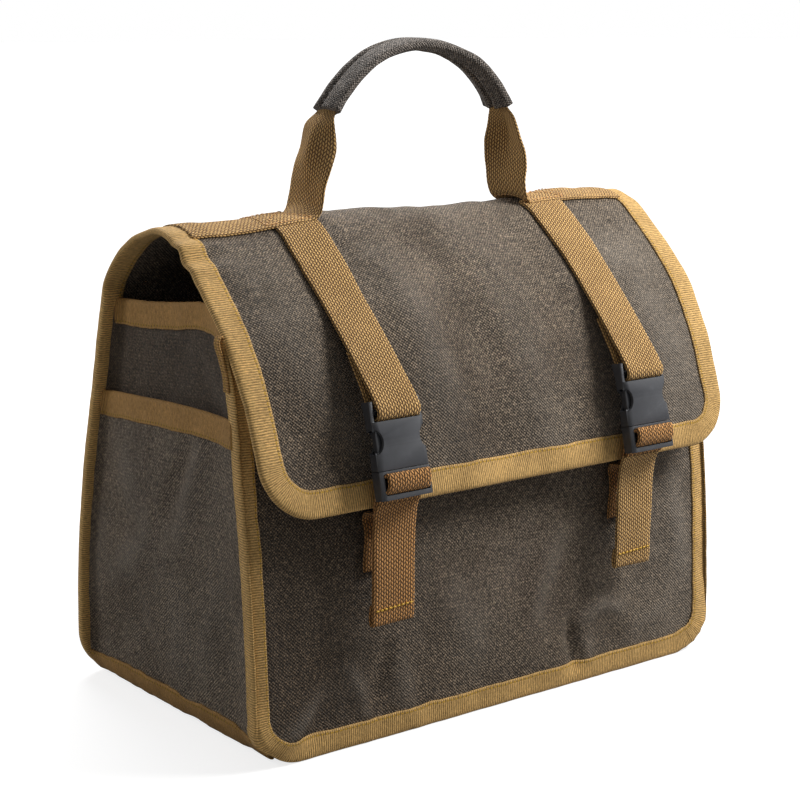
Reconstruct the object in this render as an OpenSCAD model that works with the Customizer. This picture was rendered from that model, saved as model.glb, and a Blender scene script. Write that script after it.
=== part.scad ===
// Tool bag of waxed canvas: stiff box body, hooded flap, two buckled straps and a carrying handle.
// Millimetres. X runs to the right seen from the front, the front faces minus Y, Z is up.
// The origin is under the middle of the whole bag, on the floor.

/* [Body] */
// Outside width across the side bindings
body_width = 390; // [260:1:520]
// Depth of the body where it stands on the floor
body_depth = 224; // [150:1:320]
// Height of the ridge of the hood above the floor
ridge_height = 324; // [220:1:440]
// Thickness of a lined canvas panel
canvas_thickness = 3; // [1.5:0.1:5]
// Radius of the lower corners of the front and back panels
panel_corner_radius = 32; // [15:1:60]
// How far the bound seams stand out beyond the side panels
seam_stand = 11; // [6:0.5:16]
// Radius where the side panels turn into the base
gusset_radius = 22; // [12:1:40]
// Height of the seam between side panel and base
base_seam_height = 13; // [8:0.5:20]
// Thickness of the loose board on the floor of the bag
board_thickness = 3; // [1:0.5:6]
// Gap between the board and the walls
board_gap = 6; // [2:0.5:15]

/* [Flap] */
// Radius of the lower corners of the flap
flap_corner_radius = 35; // [15:1:60]
// How much narrower the flap is than the body, on each side
flap_inset = 1; // [0:0.5:6]

/* [Binding tape] */
// Visible width of the folded tape
tape_width = 16; // [8:0.5:25]
// Thickness of one layer of tape
tape_thickness = 1.3; // [0.6:0.1:2.5]

/* [Side pockets] */
// Height of the pocket mouth at its back end
pocket_height = 206; // [120:1:260]
// How far the pocket mouth stands off the side panel
pocket_gap = 7; // [4:0.5:7.5]
// Thickness of the pocket cloth
pocket_thickness = 1.6; // [1:0.1:2]

/* [Webbing] */
// Width of the webbing of the handle and the ridge
webbing_width = 38; // [25:1:50]
// Width of the front straps, the anchor straps and the tails
strap_width = 32; // [25:1:40]
// Thickness of the webbing
webbing_thickness = 2; // [1:0.1:3]
// Distance from the middle of the bag to the middle of a front strap
strap_offset = 104; // [70:1:130]
// Height of the lower end of a hanging tail
tail_end_height = 81; // [60:1:100]
// Height of the lower end of an anchor strap
anchor_end_height = 114; // [100:1:125]
// Length of the anchor strap that is sewn to the front panel
anchor_sewn_length = 27; // [15:1:32]

/* [Buckles] */
// Width of a buckle
buckle_width = 38.5; // [37:0.5:60]
// Thickness of a buckle
buckle_thickness = 11; // [10.5:0.5:16]
// Length of the socket's closed body
socket_length = 29.5; // [28:0.5:40]
// Length of the clip's frame below the socket
clip_length = 18; // [18:0.5:24]
// Lean of the buckles away from upright, in degrees
buckle_lean = 12.8; // [5:0.1:20]
// Wall of the socket
socket_wall = 2.2; // [2:0.1:3]
// Width of a release arm
arm_width = 4; // [3:0.1:5]

/* [Handle] */
// Distance from the middle of the bag to a handle riser
riser_offset = 86; // [70:1:100]
// Height of the top of the grip
grip_top_height = 436; // [390:1:480]
// Half the distance between the ends of the grip
grip_half_span = 80; // [60:1:82]
// How far the grip arches up above its own ends
grip_rise = 44; // [30:1:60]
// Width of the grip from front to back
grip_width = 26; // [16:0.5:30]
// Thickness of the grip
grip_thickness = 12; // [8:0.5:16]
// Forward lean of the standing handle, in degrees
handle_lean = 5; // [0:0.5:10]

/* [Hidden] */
$fn = 64;
half_width = body_width / 2;
half_depth = body_depth / 2;
side_face = half_width - seam_stand;
side_inner = side_face - canvas_thickness;
flap_half = half_width - flap_inset;
overrun = 40;
long_cut = body_width * 2;
joint_gap = 0.5;
seat_gap = 0.3;
thread = 0.7;
bar_radius = 2.2;
cavity_clear = 0.35;

// Side view of the back panel from the floor up: shares of half the depth and of the ridge height
back_shares = [
  [1.0, 0], [0.995, 0.139], [0.821, 0.528], [0.732, 0.636], [0.616, 0.784], [0.5625, 0.8395]
];
// Side view of the hood and flap, from the back hinge over the ridge down to the flap's lower edge
hood_shares = [
  [0.5625, 0.8395], [0.542, 0.861], [0.455, 0.901], [0.214, 0.969], [0.080, 0.988],
  [-0.0625, 1.0], [-0.268, 0.9846], [-0.4375, 0.941], [-0.607, 0.887], [-0.777, 0.821],
  [-0.884, 0.756], [-0.955, 0.704], [-1.018, 0.639], [-1.0625, 0.586], [-1.107, 0.531],
  [-1.138, 0.488]
];
// Side view of the front panel, from its top edge down to the floor
front_shares = [
  [-0.741, 0.799], [-0.8125, 0.741], [-0.862, 0.664], [-0.893, 0.552], [-0.946, 0.398],
  [-0.991, 0.160], [-1.0, 0]
];
// Top edge of a side panel, from back to front
rim_shares = [[0.188, 0.843], [-0.143, 0.855], [-0.4375, 0.864], [-0.571, 0.861]];

// Places in the tables above
webbing_back_index = 4;
webbing_front_index = 6;
strap_leave_index = 10;
hood_last_index = len(hood_shares) - 1;
hood_over_front_index = 9;

function scaled(table) = [for (p = table) [p[0] * half_depth, p[1] * ridge_height]];
function part_of(table, a, b) = [for (i = [a:b]) table[i]];
function unit(v) = v / norm(v);
function side_of(a, b) = let (d = unit(b - a)) [-d[1], d[0]];

// A point of a line moved sideways by t, mitred at the corners, inward positive
function moved(p, i, t) =
  let (
    last = len(p) - 1,
    na = side_of(p[max(i - 1, 0)], p[max(i, 1)]),
    nb = side_of(p[min(i, last - 1)], p[min(i + 1, last)]),
    n = unit(na + nb)
  )
  p[i] + n * t / (n * na);
function moved_line(p, t) = [for (i = [0:len(p) - 1]) moved(p, i, t)];
function reversed(p) = [for (i = [len(p) - 1:-1:0]) p[i]];
function shortened(p, gap) = [
  for (i = [0:len(p) - 1]) i == 0 ? p[0] + unit(p[1] - p[0]) * gap : p[i]
];

back_line = scaled(back_shares);
front_line = scaled(front_shares);
hood_line = shortened(scaled(hood_shares), joint_gap);
rim_line = scaled(rim_shares);
hood_cover = part_of(hood_line, 0, hood_over_front_index);

// The buckle's own frame: origin at the back of the socket's top edge, Z up the strap, front minus Y
buckle_back_share = -1.10633;
buckle_height_share = 0.6448;
buckle_y = buckle_back_share * half_depth;
buckle_z = buckle_height_share * ridge_height;
buckle_half = buckle_width / 2;
bar_rise = 5.4;
bar_depth = buckle_thickness / 2 - 1;
front_leg = bar_depth + bar_radius + seat_gap;
loop_length = 24;
lower_bar_drop = 8;
end_bar_height = 3;
tail_depth = 3.8;
tail_gap = 1.6;
arm_tip_drop = 6;
tongue_half = 5;
squeeze_pad = 1.4;
anchor_clear = 2.5;
anchor_tip_drop = 1;
anchor_knee_drop = 5;
body_round = 3;
slot_clear = 0.6;
cavity_top = 4;
window_top = 4.5;
window_length = 15;
window_depth = 6.6;
frame_top = 2.8;
clip_gap = 0.4;
tongue_tip_drop = 12;
tongue_inset = 4;
arm_waist_drop = 26;
arm_waist_radius = 3;
arm_side_clear = 0.6;
arm_round = 1.2;
small_round = 1;
leg_overlap = 1;
leg_slope = 2.5;
leg_straight = 1.8;
horn_inset = 2;
horn_rise = 7;
horn_seat = 2.5;
grip_notch_radius = 7;
grip_notch_stand = 3;

// From the buckle's frame to the bag's side view
function from_buckle(depth, drop) =
  [
    buckle_y - depth * cos(buckle_lean) - drop * sin(buckle_lean),
    buckle_z + depth * sin(buckle_lean) - drop * cos(buckle_lean)
  ];

tail_top = from_buckle(tail_depth, socket_length + clip_length + tail_gap);
buckle_front = from_buckle(buckle_thickness, socket_length + clip_length);
front_most = min(buckle_front[0], tail_top[0] - webbing_thickness);
back_most = half_depth + tape_thickness;
centre_shift = -(front_most + back_most) / 2;

// The handle turns about a line above the ridge, so its rounded risers clear the webbing
ridge_point = moved(scaled(hood_shares), webbing_back_index + 1, -webbing_thickness);
handle_y = (hood_line[webbing_back_index][0] + hood_line[webbing_front_index][0]) / 2;
handle_z = ridge_point[1] + webbing_width / 2 + joint_gap;
grip_radius = (grip_half_span * grip_half_span + grip_rise * grip_rise) / (2 * grip_rise);
grip_centre_z = grip_top_height - grip_radius;
grip_angle = asin(grip_half_span / grip_radius);
grip_middle = grip_radius - grip_thickness / 2;
core_side_gap = 2.5;
core_fold = 1;
core_clear = 0.1;
core_width = grip_width - 2 * core_side_gap;
core_thickness = webbing_thickness + core_fold;
riser_top = [grip_middle * sin(grip_angle), grip_centre_z + grip_middle * cos(grip_angle)];

// Drawing helpers

// A side view (Y across, Z up) drawn out along X
module along_x(w) {
  rotate([90, 0, 90])
    linear_extrude(height = w, center = true)
      children();
}

// A front view (X across, Z up) drawn out along Y
module along_y(w) {
  rotate([90, 0, 0])
    linear_extrude(height = w, center = true)
      children();
}

// The band between two offsets of a line
module band_2d(p, a, b) {
  polygon(concat(moved_line(p, a), reversed(moved_line(p, b))));
}

// Front view of a panel: straight sides, round lower corners
module outline_2d(half, low, radius, high) {
  translate([-half, low + radius])
    square([2 * half, high - low - radius]);
  translate([-half + radius, low])
    square([2 * (half - radius), 2 * radius]);
  for (side = [-1, 1])
    translate([side * (half - radius), low + radius])
      circle(radius);
}

// Everything inside the body in side view, a stated distance in from the outer faces
module inside_2d(t, under) {
  polygon(concat(moved_line(front_line, t), moved_line(back_line, t), moved_line(hood_cover, under)));
}

// Side view of a side panel
module side_2d(t) {
  polygon(concat(moved_line(front_line, t), moved_line(back_line, t), rim_line));
}

// The loop of cloth that side panels and base are cut from, in front view
module gusset_2d(out, thick) {
  difference() {
    outline_2d(side_face + out, -out, gusset_radius + out, ridge_height);
    outline_2d(
      side_face + out - thick, thick - out, gusset_radius + out - thick, ridge_height + overrun
    );
  }
}

// Half of space on one side of the middle
module half_space(side, low, high) {
  translate([side * long_cut / 2, 0, (low + high) / 2])
    cube([long_cut, long_cut, high - low], center = true);
}

module centred() {
  translate([0, centre_shift, 0])
    children();
}

// Stands children in the frame of one buckle
module at_buckle(side) {
  translate([side * strap_offset, centre_shift + buckle_y, buckle_z])
    rotate([-buckle_lean, 0, 0])
      children();
}

// A block of the buckle, middle in X, from depth a to b and from drop c to d
module buckle_block(half, a, b, c, d) {
  translate([-half, -b, -d])
    cube([2 * half, b - a, d - c]);
}

// The same block with its long edges rounded
module buckle_round_block(half, a, b, c, d, r) {
  translate([0, -(a + b) / 2, -d])
    linear_extrude(height = d - c)
      rounded_2d(2 * half, b - a, r);
}

module rounded_2d(w, d, r) {
  square([w - 2 * r, d], center = true);
  square([w, d - 2 * r], center = true);
  for (x = [-1, 1], y = [-1, 1])
    translate([x * (w / 2 - r), y * (d / 2 - r)])
      circle(r);
}

// A bar across the buckle
module buckle_bar(half, depth, drop, r) {
  translate([0, -depth, -drop])
    rotate([0, 90, 0])
      cylinder(h = 2 * half, r = r, center = true);
}

// Body

module base_panel() {
  color("#3f3830")
    centred()
      intersection() {
        along_y(long_cut)
          gusset_2d(0, canvas_thickness);
        along_x(long_cut)
          inside_2d(canvas_thickness, canvas_thickness);
        translate([0, 0, base_seam_height / 2])
          cube([long_cut, long_cut, base_seam_height], center = true);
      }
}

module base_board() {
  board_low = canvas_thickness;
  color("#5b5348")
    centred()
      intersection() {
        along_y(long_cut)
          outline_2d(side_face - gusset_radius, board_low - gusset_radius, gusset_radius, ridge_height);
        along_x(long_cut)
          inside_2d(canvas_thickness + board_gap, canvas_thickness + board_gap);
        translate([0, 0, board_low + board_thickness / 2])
          cube([long_cut, long_cut, board_thickness], center = true);
      }
}

// Front view of the front or back panel, inside its tape
module panel_outline_2d(extra) {
  outline_2d(
    half_width - tape_thickness, tape_thickness, panel_corner_radius - tape_thickness,
    ridge_height + extra
  );
}

module panel_sheet(line, a, b) {
  along_x(long_cut)
    band_2d(line, a, b);
}

module front_panel() {
  color("#4a4238")
    centred()
      intersection() {
        panel_sheet(front_line, 0, canvas_thickness);
        along_y(long_cut)
          panel_outline_2d(0);
      }
}

module back_panel() {
  color("#4a4238")
    centred()
      intersection() {
        panel_sheet(back_line, 0, canvas_thickness);
        along_y(long_cut)
          panel_outline_2d(0);
      }
}

module side_panel(side) {
  color("#453d34")
    centred()
      intersection() {
        along_y(long_cut)
          gusset_2d(0, canvas_thickness);
        along_x(long_cut)
          side_2d(canvas_thickness);
        half_space(side, base_seam_height, ridge_height);
      }
}

// Tape folded over the edge of a panel: leaves on both faces outside the side panels
module panel_binding(line) {
  color("#9a7a3c")
    centred()
      difference() {
        intersection() {
          panel_sheet(line, -tape_thickness, canvas_thickness + tape_thickness);
          along_y(long_cut)
            difference() {
              outline_2d(half_width, 0, panel_corner_radius, ridge_height);
              outline_2d(
                half_width - tape_width, tape_width, panel_corner_radius - tape_width,
                ridge_height + overrun
              );
            }
        }
        intersection() {
          panel_sheet(line, 0, canvas_thickness);
          along_y(long_cut)
            panel_outline_2d(overrun);
        }
        intersection() {
          panel_sheet(line, canvas_thickness, canvas_thickness + overrun);
          along_y(long_cut)
            outline_2d(side_face, -overrun, gusset_radius, ridge_height + overrun);
        }
      }
}

module front_binding() {
  panel_binding(front_line);
}

module back_binding() {
  panel_binding(back_line);
}

// Tape over the seam between side panel and base
module base_binding(side) {
  tape_low = base_seam_height - tape_width / 2;
  tape_high = base_seam_height + tape_width / 2;
  color("#9a7a3c")
    centred()
      intersection() {
        along_y(long_cut)
          gusset_2d(tape_thickness, tape_thickness);
        along_x(long_cut)
          inside_2d(canvas_thickness + tape_thickness, canvas_thickness);
        half_space(side, tape_low, tape_high);
      }
}

// Side view of the tape on the top edge of a side panel
module side_rim_2d() {
  back_top = moved(back_line, len(back_line) - 1, canvas_thickness + tape_thickness);
  front_top = moved(front_line, 0, canvas_thickness + tape_thickness);
  rim = concat([back_top], rim_line, [front_top]);
  intersection() {
    band_2d(rim, -tape_thickness, tape_width);
    inside_2d(canvas_thickness + tape_thickness, canvas_thickness + tape_thickness);
  }
}

module side_rim(side) {
  rim_middle = side_face - canvas_thickness / 2;
  color("#9a7a3c")
    centred()
      difference() {
        translate([side * rim_middle, 0, 0])
          along_x(canvas_thickness + 2 * tape_thickness)
            side_rim_2d();
        translate([side * rim_middle, 0, 0])
          along_x(canvas_thickness)
            side_2d(0);
      }
}

// Side view of a pocket: its mouth rises a little towards the front
pocket_front_rise = 7;
function pocket_edge(drop) = [
  [-half_depth * 2, pocket_height - drop + pocket_front_rise],
  [-half_depth * 0.6, pocket_height - drop + pocket_front_rise],
  [half_depth * 0.1, pocket_height - drop + pocket_front_rise * 0.7],
  [half_depth * 0.5, pocket_height - drop],
  [half_depth * 2, pocket_height - drop - pocket_front_rise * 0.7]
];
pocket_foot = base_seam_height + tape_width / 2;
pocket_tilt = asin((pocket_gap - tape_thickness) / (pocket_height - pocket_foot));

module pocket_side_2d(drop, top) {
  intersection() {
    polygon(
      concat(pocket_edge(drop - top), [[half_depth * 2, pocket_foot], [-half_depth * 2, pocket_foot]])
    );
    inside_2d(canvas_thickness + tape_thickness, canvas_thickness + tape_thickness);
  }
}

// Lays a sheet at the tilt of a pocket: a and b are its distances out from the pocket's inner face
module pocket_sheet(side, a, b) {
  translate([side * side_face, 0, pocket_foot])
    rotate([0, side * pocket_tilt, 0])
      translate([side * (tape_thickness + (a + b) / 2), 0, -pocket_foot])
        along_x(b - a)
          children();
}

module pocket(side) {
  color("#453d34")
    centred()
      pocket_sheet(side, 0, pocket_thickness)
        pocket_side_2d(tape_thickness, 0);
}

module pocket_rim(side) {
  color("#9a7a3c")
    centred()
      difference() {
        pocket_sheet(side, -tape_thickness, pocket_thickness + tape_thickness)
          difference() {
            pocket_side_2d(0, 0);
            polygon(
              concat(
                pocket_edge(tape_width), [[half_depth * 2, -overrun], [-half_depth * 2, -overrun]]
              )
            );
          }
        pocket_sheet(side, 0, pocket_thickness)
          pocket_side_2d(tape_thickness, 0);
      }
}

// Tape over the top edge of the front panel, hidden by the flap
module front_rim() {
  top = part_of(front_line, 0, 1);
  short_top = [top[0], top[0] + unit(top[1] - top[0]) * tape_width];
  cap = [top[0] - unit(top[1] - top[0]) * tape_thickness, short_top[1]];
  color("#9a7a3c")
    centred()
      difference() {
        along_x(2 * (half_width - tape_width - joint_gap))
          band_2d(cap, -tape_thickness, canvas_thickness + tape_thickness);
        along_x(long_cut)
          band_2d(front_line, 0, canvas_thickness);
      }
}

// Strap sewn to the front panel that comes forward under the flap to the buckle
module anchor_strap(side) {
  low = [front_at(anchor_end_height), anchor_end_height];
  bend_height = anchor_end_height + anchor_sewn_length;
  bend = [front_at(bend_height), bend_height];
  tip_drop = socket_length + clip_length + anchor_tip_drop;
  tip = from_buckle(-anchor_clear, tip_drop);
  knee = from_buckle(-anchor_clear, tip_drop + anchor_knee_drop);
  color("#8a6434")
    centred()
      translate([side * strap_offset, 0, 0])
        along_x(strap_width)
          difference() {
            band_2d([tip, knee, bend, low], -webbing_thickness, 0);
            polygon(
              concat(moved_line(front_line, 0), [[half_depth, 0], [half_depth, ridge_height]])
            );
          }
}

// Outer face of the front panel at a height, in the part that leans evenly
function front_at(z) =
  let (
    a = front_line[4],
    b = front_line[5]
  )
  a[0] + (b[0] - a[0]) * (z - a[1]) / (b[1] - a[1]);

// Folded end of the front binding, standing at the upper corner of the front panel
module corner_tab(side) {
  tab_low = front_line[1] + [half_depth * 0.02, 0];
  tab_high = front_line[0] + [half_depth * 0.03, 0];
  tab_width = tape_width * 0.8;
  color("#9a7a3c")
    centred()
      translate([side * (side_face + tape_thickness * 2.5), 0, 0])
        difference() {
          along_x(tape_thickness * 3)
            band_2d([tab_high, tab_low], canvas_thickness + tape_thickness, tab_width);
          along_x(tape_thickness)
            band_2d([tab_high, tab_low], 0, tab_width - tape_thickness);
        }
}

// Hood and flap

module flap_outline_2d(inset) {
  outline_2d(
    flap_half - inset,
    hood_line[hood_last_index][1] + inset - tape_thickness,
    flap_corner_radius - inset,
    ridge_height + overrun
  );
}

module flap() {
  color("#5a5146")
    centred()
      intersection() {
        along_x(long_cut)
          band_2d(hood_line, 0, canvas_thickness);
        along_y(long_cut)
          flap_outline_2d(tape_thickness);
      }
}

// Tape folded over the left, lower and right edges of the hood and flap
module flap_binding() {
  low_end = hood_line[hood_last_index];
  before = hood_line[hood_last_index - 1];
  longer = concat(
    part_of(hood_line, 0, hood_last_index - 1), [low_end + unit(low_end - before) * tape_width]
  );
  color("#a8843f")
    centred()
      difference() {
        intersection() {
          along_x(long_cut)
            band_2d(longer, -tape_thickness, canvas_thickness + tape_thickness);
          along_y(long_cut)
            difference() {
              flap_outline_2d(0);
              flap_outline_2d(tape_width);
            }
        }
        intersection() {
          along_x(long_cut)
            band_2d(longer, 0, canvas_thickness);
          along_y(long_cut)
            flap_outline_2d(tape_thickness);
        }
      }
}

// Webbing along the ridge from the side binding to the foot of the handle
module top_webbing(side) {
  ridge_part = part_of(hood_line, webbing_back_index, webbing_front_index);
  outer_end = flap_half - tape_width;
  inner_end = riser_offset - webbing_thickness;
  color("#b08a4c")
    centred()
      translate([side * (outer_end + inner_end) / 2, 0, 0])
        along_x(outer_end - inner_end)
          band_2d(ridge_part, -webbing_thickness, 0);
}

// Sewn cross and square that hold the webbing down beside the handle
module webbing_stitch(side) {
  ridge_part = part_of(hood_line, webbing_back_index, webbing_front_index);
  box_near = riser_offset + webbing_thickness;
  box_far = box_near + webbing_width;
  top_off = -webbing_thickness - thread;
  color("#c39a3a")
    centred() {
      for (x = [box_near, box_far])
        translate([side * x, 0, 0])
          along_x(thread)
            intersection() {
              band_2d(ridge_part, top_off, -webbing_thickness);
              polygon_box_2d(
                hood_line[webbing_front_index][0] + thread * 3,
                hood_line[webbing_back_index][0] - thread * 3
              );
            }
      for (y = [hood_line[webbing_front_index][0], hood_line[webbing_back_index][0]])
        translate([side * (box_near + box_far) / 2, 0, 0])
          along_x(box_far - box_near)
            intersection() {
              band_2d(ridge_part, top_off, -webbing_thickness);
              polygon_box_2d(
                y + (y < handle_y ? thread * 3 : -thread * 4),
                y + (y < handle_y ? thread * 4 : -thread * 3)
              );
            }
    }
}

module polygon_box_2d(a, b) {
  translate([a, 0])
    square([b - a, ridge_height * 2]);
}

// Strap from the ridge down the flap, round the socket's bar and back up behind itself
module front_strap(side) {
  on_flap = part_of(hood_line, webbing_front_index, strap_leave_index);
  lift = from_buckle(front_leg - leg_slope, -loop_length);
  down = from_buckle(front_leg, -bar_rise - leg_overlap);
  turn = from_buckle(front_leg, -bar_rise + thread / 2);
  color("#9c733c") {
    centred()
      translate([side * strap_offset, 0, 0])
        along_x(strap_width)
          band_2d(concat(on_flap, [lift, down, turn]), -webbing_thickness, 0);
    at_buckle(side) {
      difference() {
        buckle_bar(strap_width / 2, bar_depth, -bar_rise, bar_radius + seat_gap + webbing_thickness);
        buckle_bar(strap_width, bar_depth, -bar_rise, bar_radius + seat_gap);
        buckle_block(
          strap_width, -overrun, overrun, -bar_rise - overrun, -bar_rise
        );
      }
      buckle_block(
        strap_width / 2,
        bar_depth - bar_radius - seat_gap - webbing_thickness,
        bar_depth - bar_radius - seat_gap,
        -loop_length + webbing_thickness,
        -bar_rise + thread / 2
      );
    }
  }
}

// Female half of a side release buckle
module buckle_socket(side) {
  cavity_half = buckle_half - socket_wall;
  middle = buckle_thickness / 2;
  slot_half = strap_width / 2 + slot_clear;
  color("#202224")
    at_buckle(side) {
      difference() {
        union() {
          buckle_round_block(buckle_half, 0, buckle_thickness, 0, socket_length, body_round);
          for (x = [-1, 1])
            translate([x * (buckle_half + slot_half) / 2, 0, 0])
              buckle_round_block(
                (buckle_half - slot_half) / 2, horn_inset, buckle_thickness - horn_inset,
                -bar_rise - horn_rise, horn_seat, small_round
              );
        }
        buckle_block(
          cavity_half, socket_wall, buckle_thickness - socket_wall, cavity_top, socket_length + overrun
        );
        for (x = [-1, 1])
          translate([x * buckle_half, -middle, -window_top - window_length / 2])
            rotate([0, 90, 0])
              linear_extrude(height = socket_wall * 4, center = true)
                rounded_2d(window_length, window_depth, body_round);
        for (x = [-1, 1])
          translate([x * (buckle_half + grip_notch_stand), 0, -window_top - window_length / 2])
            rotate([90, 0, 0])
              cylinder(h = overrun, r = grip_notch_radius, center = true);
      }
      buckle_bar(slot_half + slot_clear, bar_depth, -bar_rise, bar_radius);
    }
}
// Frame of the male half, with its guide tongue
module buckle_clip(side) {
  top = socket_length + clip_gap;
  bottom = socket_length + clip_length;
  rail_half = strap_width / 2 + slot_clear;
  bar_drop = socket_length + lower_bar_drop;
  middle = buckle_thickness / 2;
  color("#202224")
    at_buckle(side) {
      difference() {
        buckle_round_block(buckle_half, 0, buckle_thickness, top, bottom, body_round);
        buckle_block(rail_half, -overrun, overrun, top + frame_top, bottom - end_bar_height);
        buckle_block(rail_half, -overrun, middle, top + frame_top, bottom + overrun);
      }
      buckle_bar(rail_half + slot_clear, middle, bar_drop, bar_radius);
      buckle_round_block(
        tongue_half, tongue_inset, buckle_thickness - tongue_inset, tongue_tip_drop, top + leg_overlap,
        small_round
      );
    }
}

// Webbing over the clip's bar, down to the start of the tail
module clip_webbing(side) {
  bar_drop = socket_length + lower_bar_drop;
  bottom = socket_length + clip_length;
  middle = buckle_thickness / 2;
  inner_r = bar_radius + seat_gap;
  outer_r = inner_r + webbing_thickness;
  color("#8a6434")
    at_buckle(side) {
      difference() {
        buckle_bar(strap_width / 2, middle, bar_drop, outer_r);
        buckle_bar(strap_width, middle, bar_drop, inner_r);
        buckle_block(strap_width, -overrun, overrun, bar_drop, bar_drop + overrun);
      }
      buckle_block(strap_width / 2, middle - outer_r, middle - inner_r, bar_drop, bottom);
      translate([-strap_width / 2, 0, 0])
        rotate([90, 0, 90])
          linear_extrude(height = strap_width)
            polygon([
              [-middle - inner_r, -bar_drop],
              [-middle - outer_r, -bar_drop],
              [-middle - outer_r, -bar_drop - leg_straight],
              [-tail_depth - webbing_thickness / 2, -bottom + end_bar_height + seat_gap],
              [-tail_depth - webbing_thickness / 2, -bottom - seat_gap],
              [-tail_depth + webbing_thickness / 2, -bottom - seat_gap],
              [-tail_depth + webbing_thickness / 2, -bottom + end_bar_height + leg_overlap],
              [-middle - inner_r, -bar_drop - leg_straight]
            ]);
    }
}

// One springy side arm of the male half
module clip_arm(side, hand) {
  arm_outer = buckle_half - socket_wall - cavity_clear;
  arm_inner = arm_outer - arm_width;
  arm_back = socket_wall + cavity_clear + arm_side_clear;
  arm_front = buckle_thickness - socket_wall - cavity_clear - arm_side_clear;
  top = socket_length + clip_gap;
  color("#26282a")
    at_buckle(side)
      difference() {
        translate([hand * (arm_outer + arm_inner) / 2, 0, 0])
          buckle_round_block(
            arm_width / 2, arm_back, arm_front, arm_tip_drop, top - 2 * seat_gap, arm_round
          );
        translate([hand * (arm_outer + squeeze_pad), 0, -arm_waist_drop])
          rotate([90, 0, 0])
            cylinder(h = overrun, r = arm_waist_radius, center = true);
      }
}

// Tail hanging from the clip
module tail(side) {
  color("#8a6434")
    translate([side * strap_offset, centre_shift + tail_top[0], 0]) {
      translate([-strap_width / 2, -webbing_thickness / 2, tail_end_height])
        cube([strap_width, webbing_thickness, tail_top[1] - tail_end_height]);
      translate([0, 0, tail_top[1]])
        rotate([0, 90, 0])
          cylinder(h = strap_width, r = webbing_thickness / 2, center = true);
      translate([-strap_width / 2, -webbing_thickness * 1.5, tail_end_height])
        cube([strap_width, webbing_thickness, tape_width * 0.8]);
    }
}

// Row of thread that holds the tail's folded end
module tail_stitch(side) {
  color("#d8a62a")
    translate([side * strap_offset, centre_shift + tail_top[0], 0])
      translate([0, -webbing_thickness * 1.5 - thread / 2, tail_end_height + tape_width * 0.65])
        cube([strap_width - 2 * webbing_thickness, thread, thread], center = true);
}

// Handle

module at_handle() {
  translate([0, centre_shift + handle_y, handle_z])
    rotate([handle_lean, 0, 0])
      translate([0, 0, -handle_z])
        children();
}

// Ring segment of the grip, seen from the front
module grip_arc(w, d, r) {
  translate([0, 0, grip_centre_z])
    rotate([90, 0, 0])
      rotate([0, 0, 90 - grip_angle])
        rotate_extrude(angle = 2 * grip_angle, $fn = 96)
          translate([grip_middle, 0])
            rounded_2d(d, w, r);
}

module handle_webbing() {
  foot = [riser_offset, handle_z];
  lean = atan2(foot[0] - riser_top[0], riser_top[1] - foot[1]);
  rise = norm([foot[0] - riser_top[0], riser_top[1] - foot[1]]);
  color("#a87f42")
    at_handle() {
      grip_arc(core_width, core_thickness, core_thickness * 0.3);
      for (side = [-1, 1]) {
        translate([side * riser_offset, 0, handle_z])
          rotate([0, 90, 0])
            cylinder(h = webbing_thickness, r = webbing_width / 2, center = true);
        translate([side * riser_offset, 0, handle_z])
          rotate([0, -side * lean, 0])
            rotate([90, 0, 90])
              linear_extrude(height = webbing_thickness, center = true)
                polygon([
                  [-webbing_width / 2, 0],
                  [webbing_width / 2, 0],
                  [webbing_width / 2, rise * 0.3],
                  [core_width / 2, rise],
                  [-core_width / 2, rise],
                  [-webbing_width / 2, rise * 0.3]
                ]);
      }
    }
}

module handle_sleeve() {
  color("#6b6256")
    at_handle()
      difference() {
        grip_arc(grip_width, grip_thickness, grip_thickness * 0.4);
        grip_arc(core_width + 2 * core_clear, core_thickness + 2 * core_clear, core_thickness * 0.3);
      }
}

base_panel();
base_board();
front_panel();
back_panel();
side_panel(-1);  // side_panel_left
side_panel(1);  // side_panel_right
pocket(-1);  // pocket_left
pocket(1);  // pocket_right
front_binding();
back_binding();
base_binding(-1);  // base_binding_left
base_binding(1);  // base_binding_right
side_rim(-1);  // side_rim_left
side_rim(1);  // side_rim_right
pocket_rim(-1);  // pocket_rim_left
pocket_rim(1);  // pocket_rim_right
front_rim();
anchor_strap(-1);  // anchor_strap_left
anchor_strap(1);  // anchor_strap_right
corner_tab(-1);  // corner_tab_left
corner_tab(1);  // corner_tab_right
flap();
flap_binding();
top_webbing(-1);  // top_webbing_left
top_webbing(1);  // top_webbing_right
front_strap(-1);  // front_strap_left
front_strap(1);  // front_strap_right
buckle_socket(-1);  // buckle_socket_left
buckle_socket(1);  // buckle_socket_right
webbing_stitch(-1);  // webbing_stitch_left
webbing_stitch(1);  // webbing_stitch_right
handle_webbing();
handle_sleeve();
buckle_clip(-1);  // buckle_clip_left
buckle_clip(1);  // buckle_clip_right
clip_webbing(-1);  // clip_webbing_left
clip_webbing(1);  // clip_webbing_right
clip_arm(-1, -1);  // left_clip_arm_left
clip_arm(-1, 1);  // left_clip_arm_right
clip_arm(1, -1);  // right_clip_arm_left
clip_arm(1, 1);  // right_clip_arm_right
tail(-1);  // tail_left
tail(1);  // tail_right
tail_stitch(-1);  // tail_stitch_left
tail_stitch(1);  // tail_stitch_right
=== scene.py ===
"""Tool bag of waxed canvas, dressed in cloth, tape, webbing and moulded plastic."""

import math
from bisect import bisect_right
from functools import partial
from itertools import accumulate

import bmesh
import bpy
from bpy.props import FloatProperty, FloatVectorProperty, PointerProperty
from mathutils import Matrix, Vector, noise
from mathutils.geometry import interpolate_bezier


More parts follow.
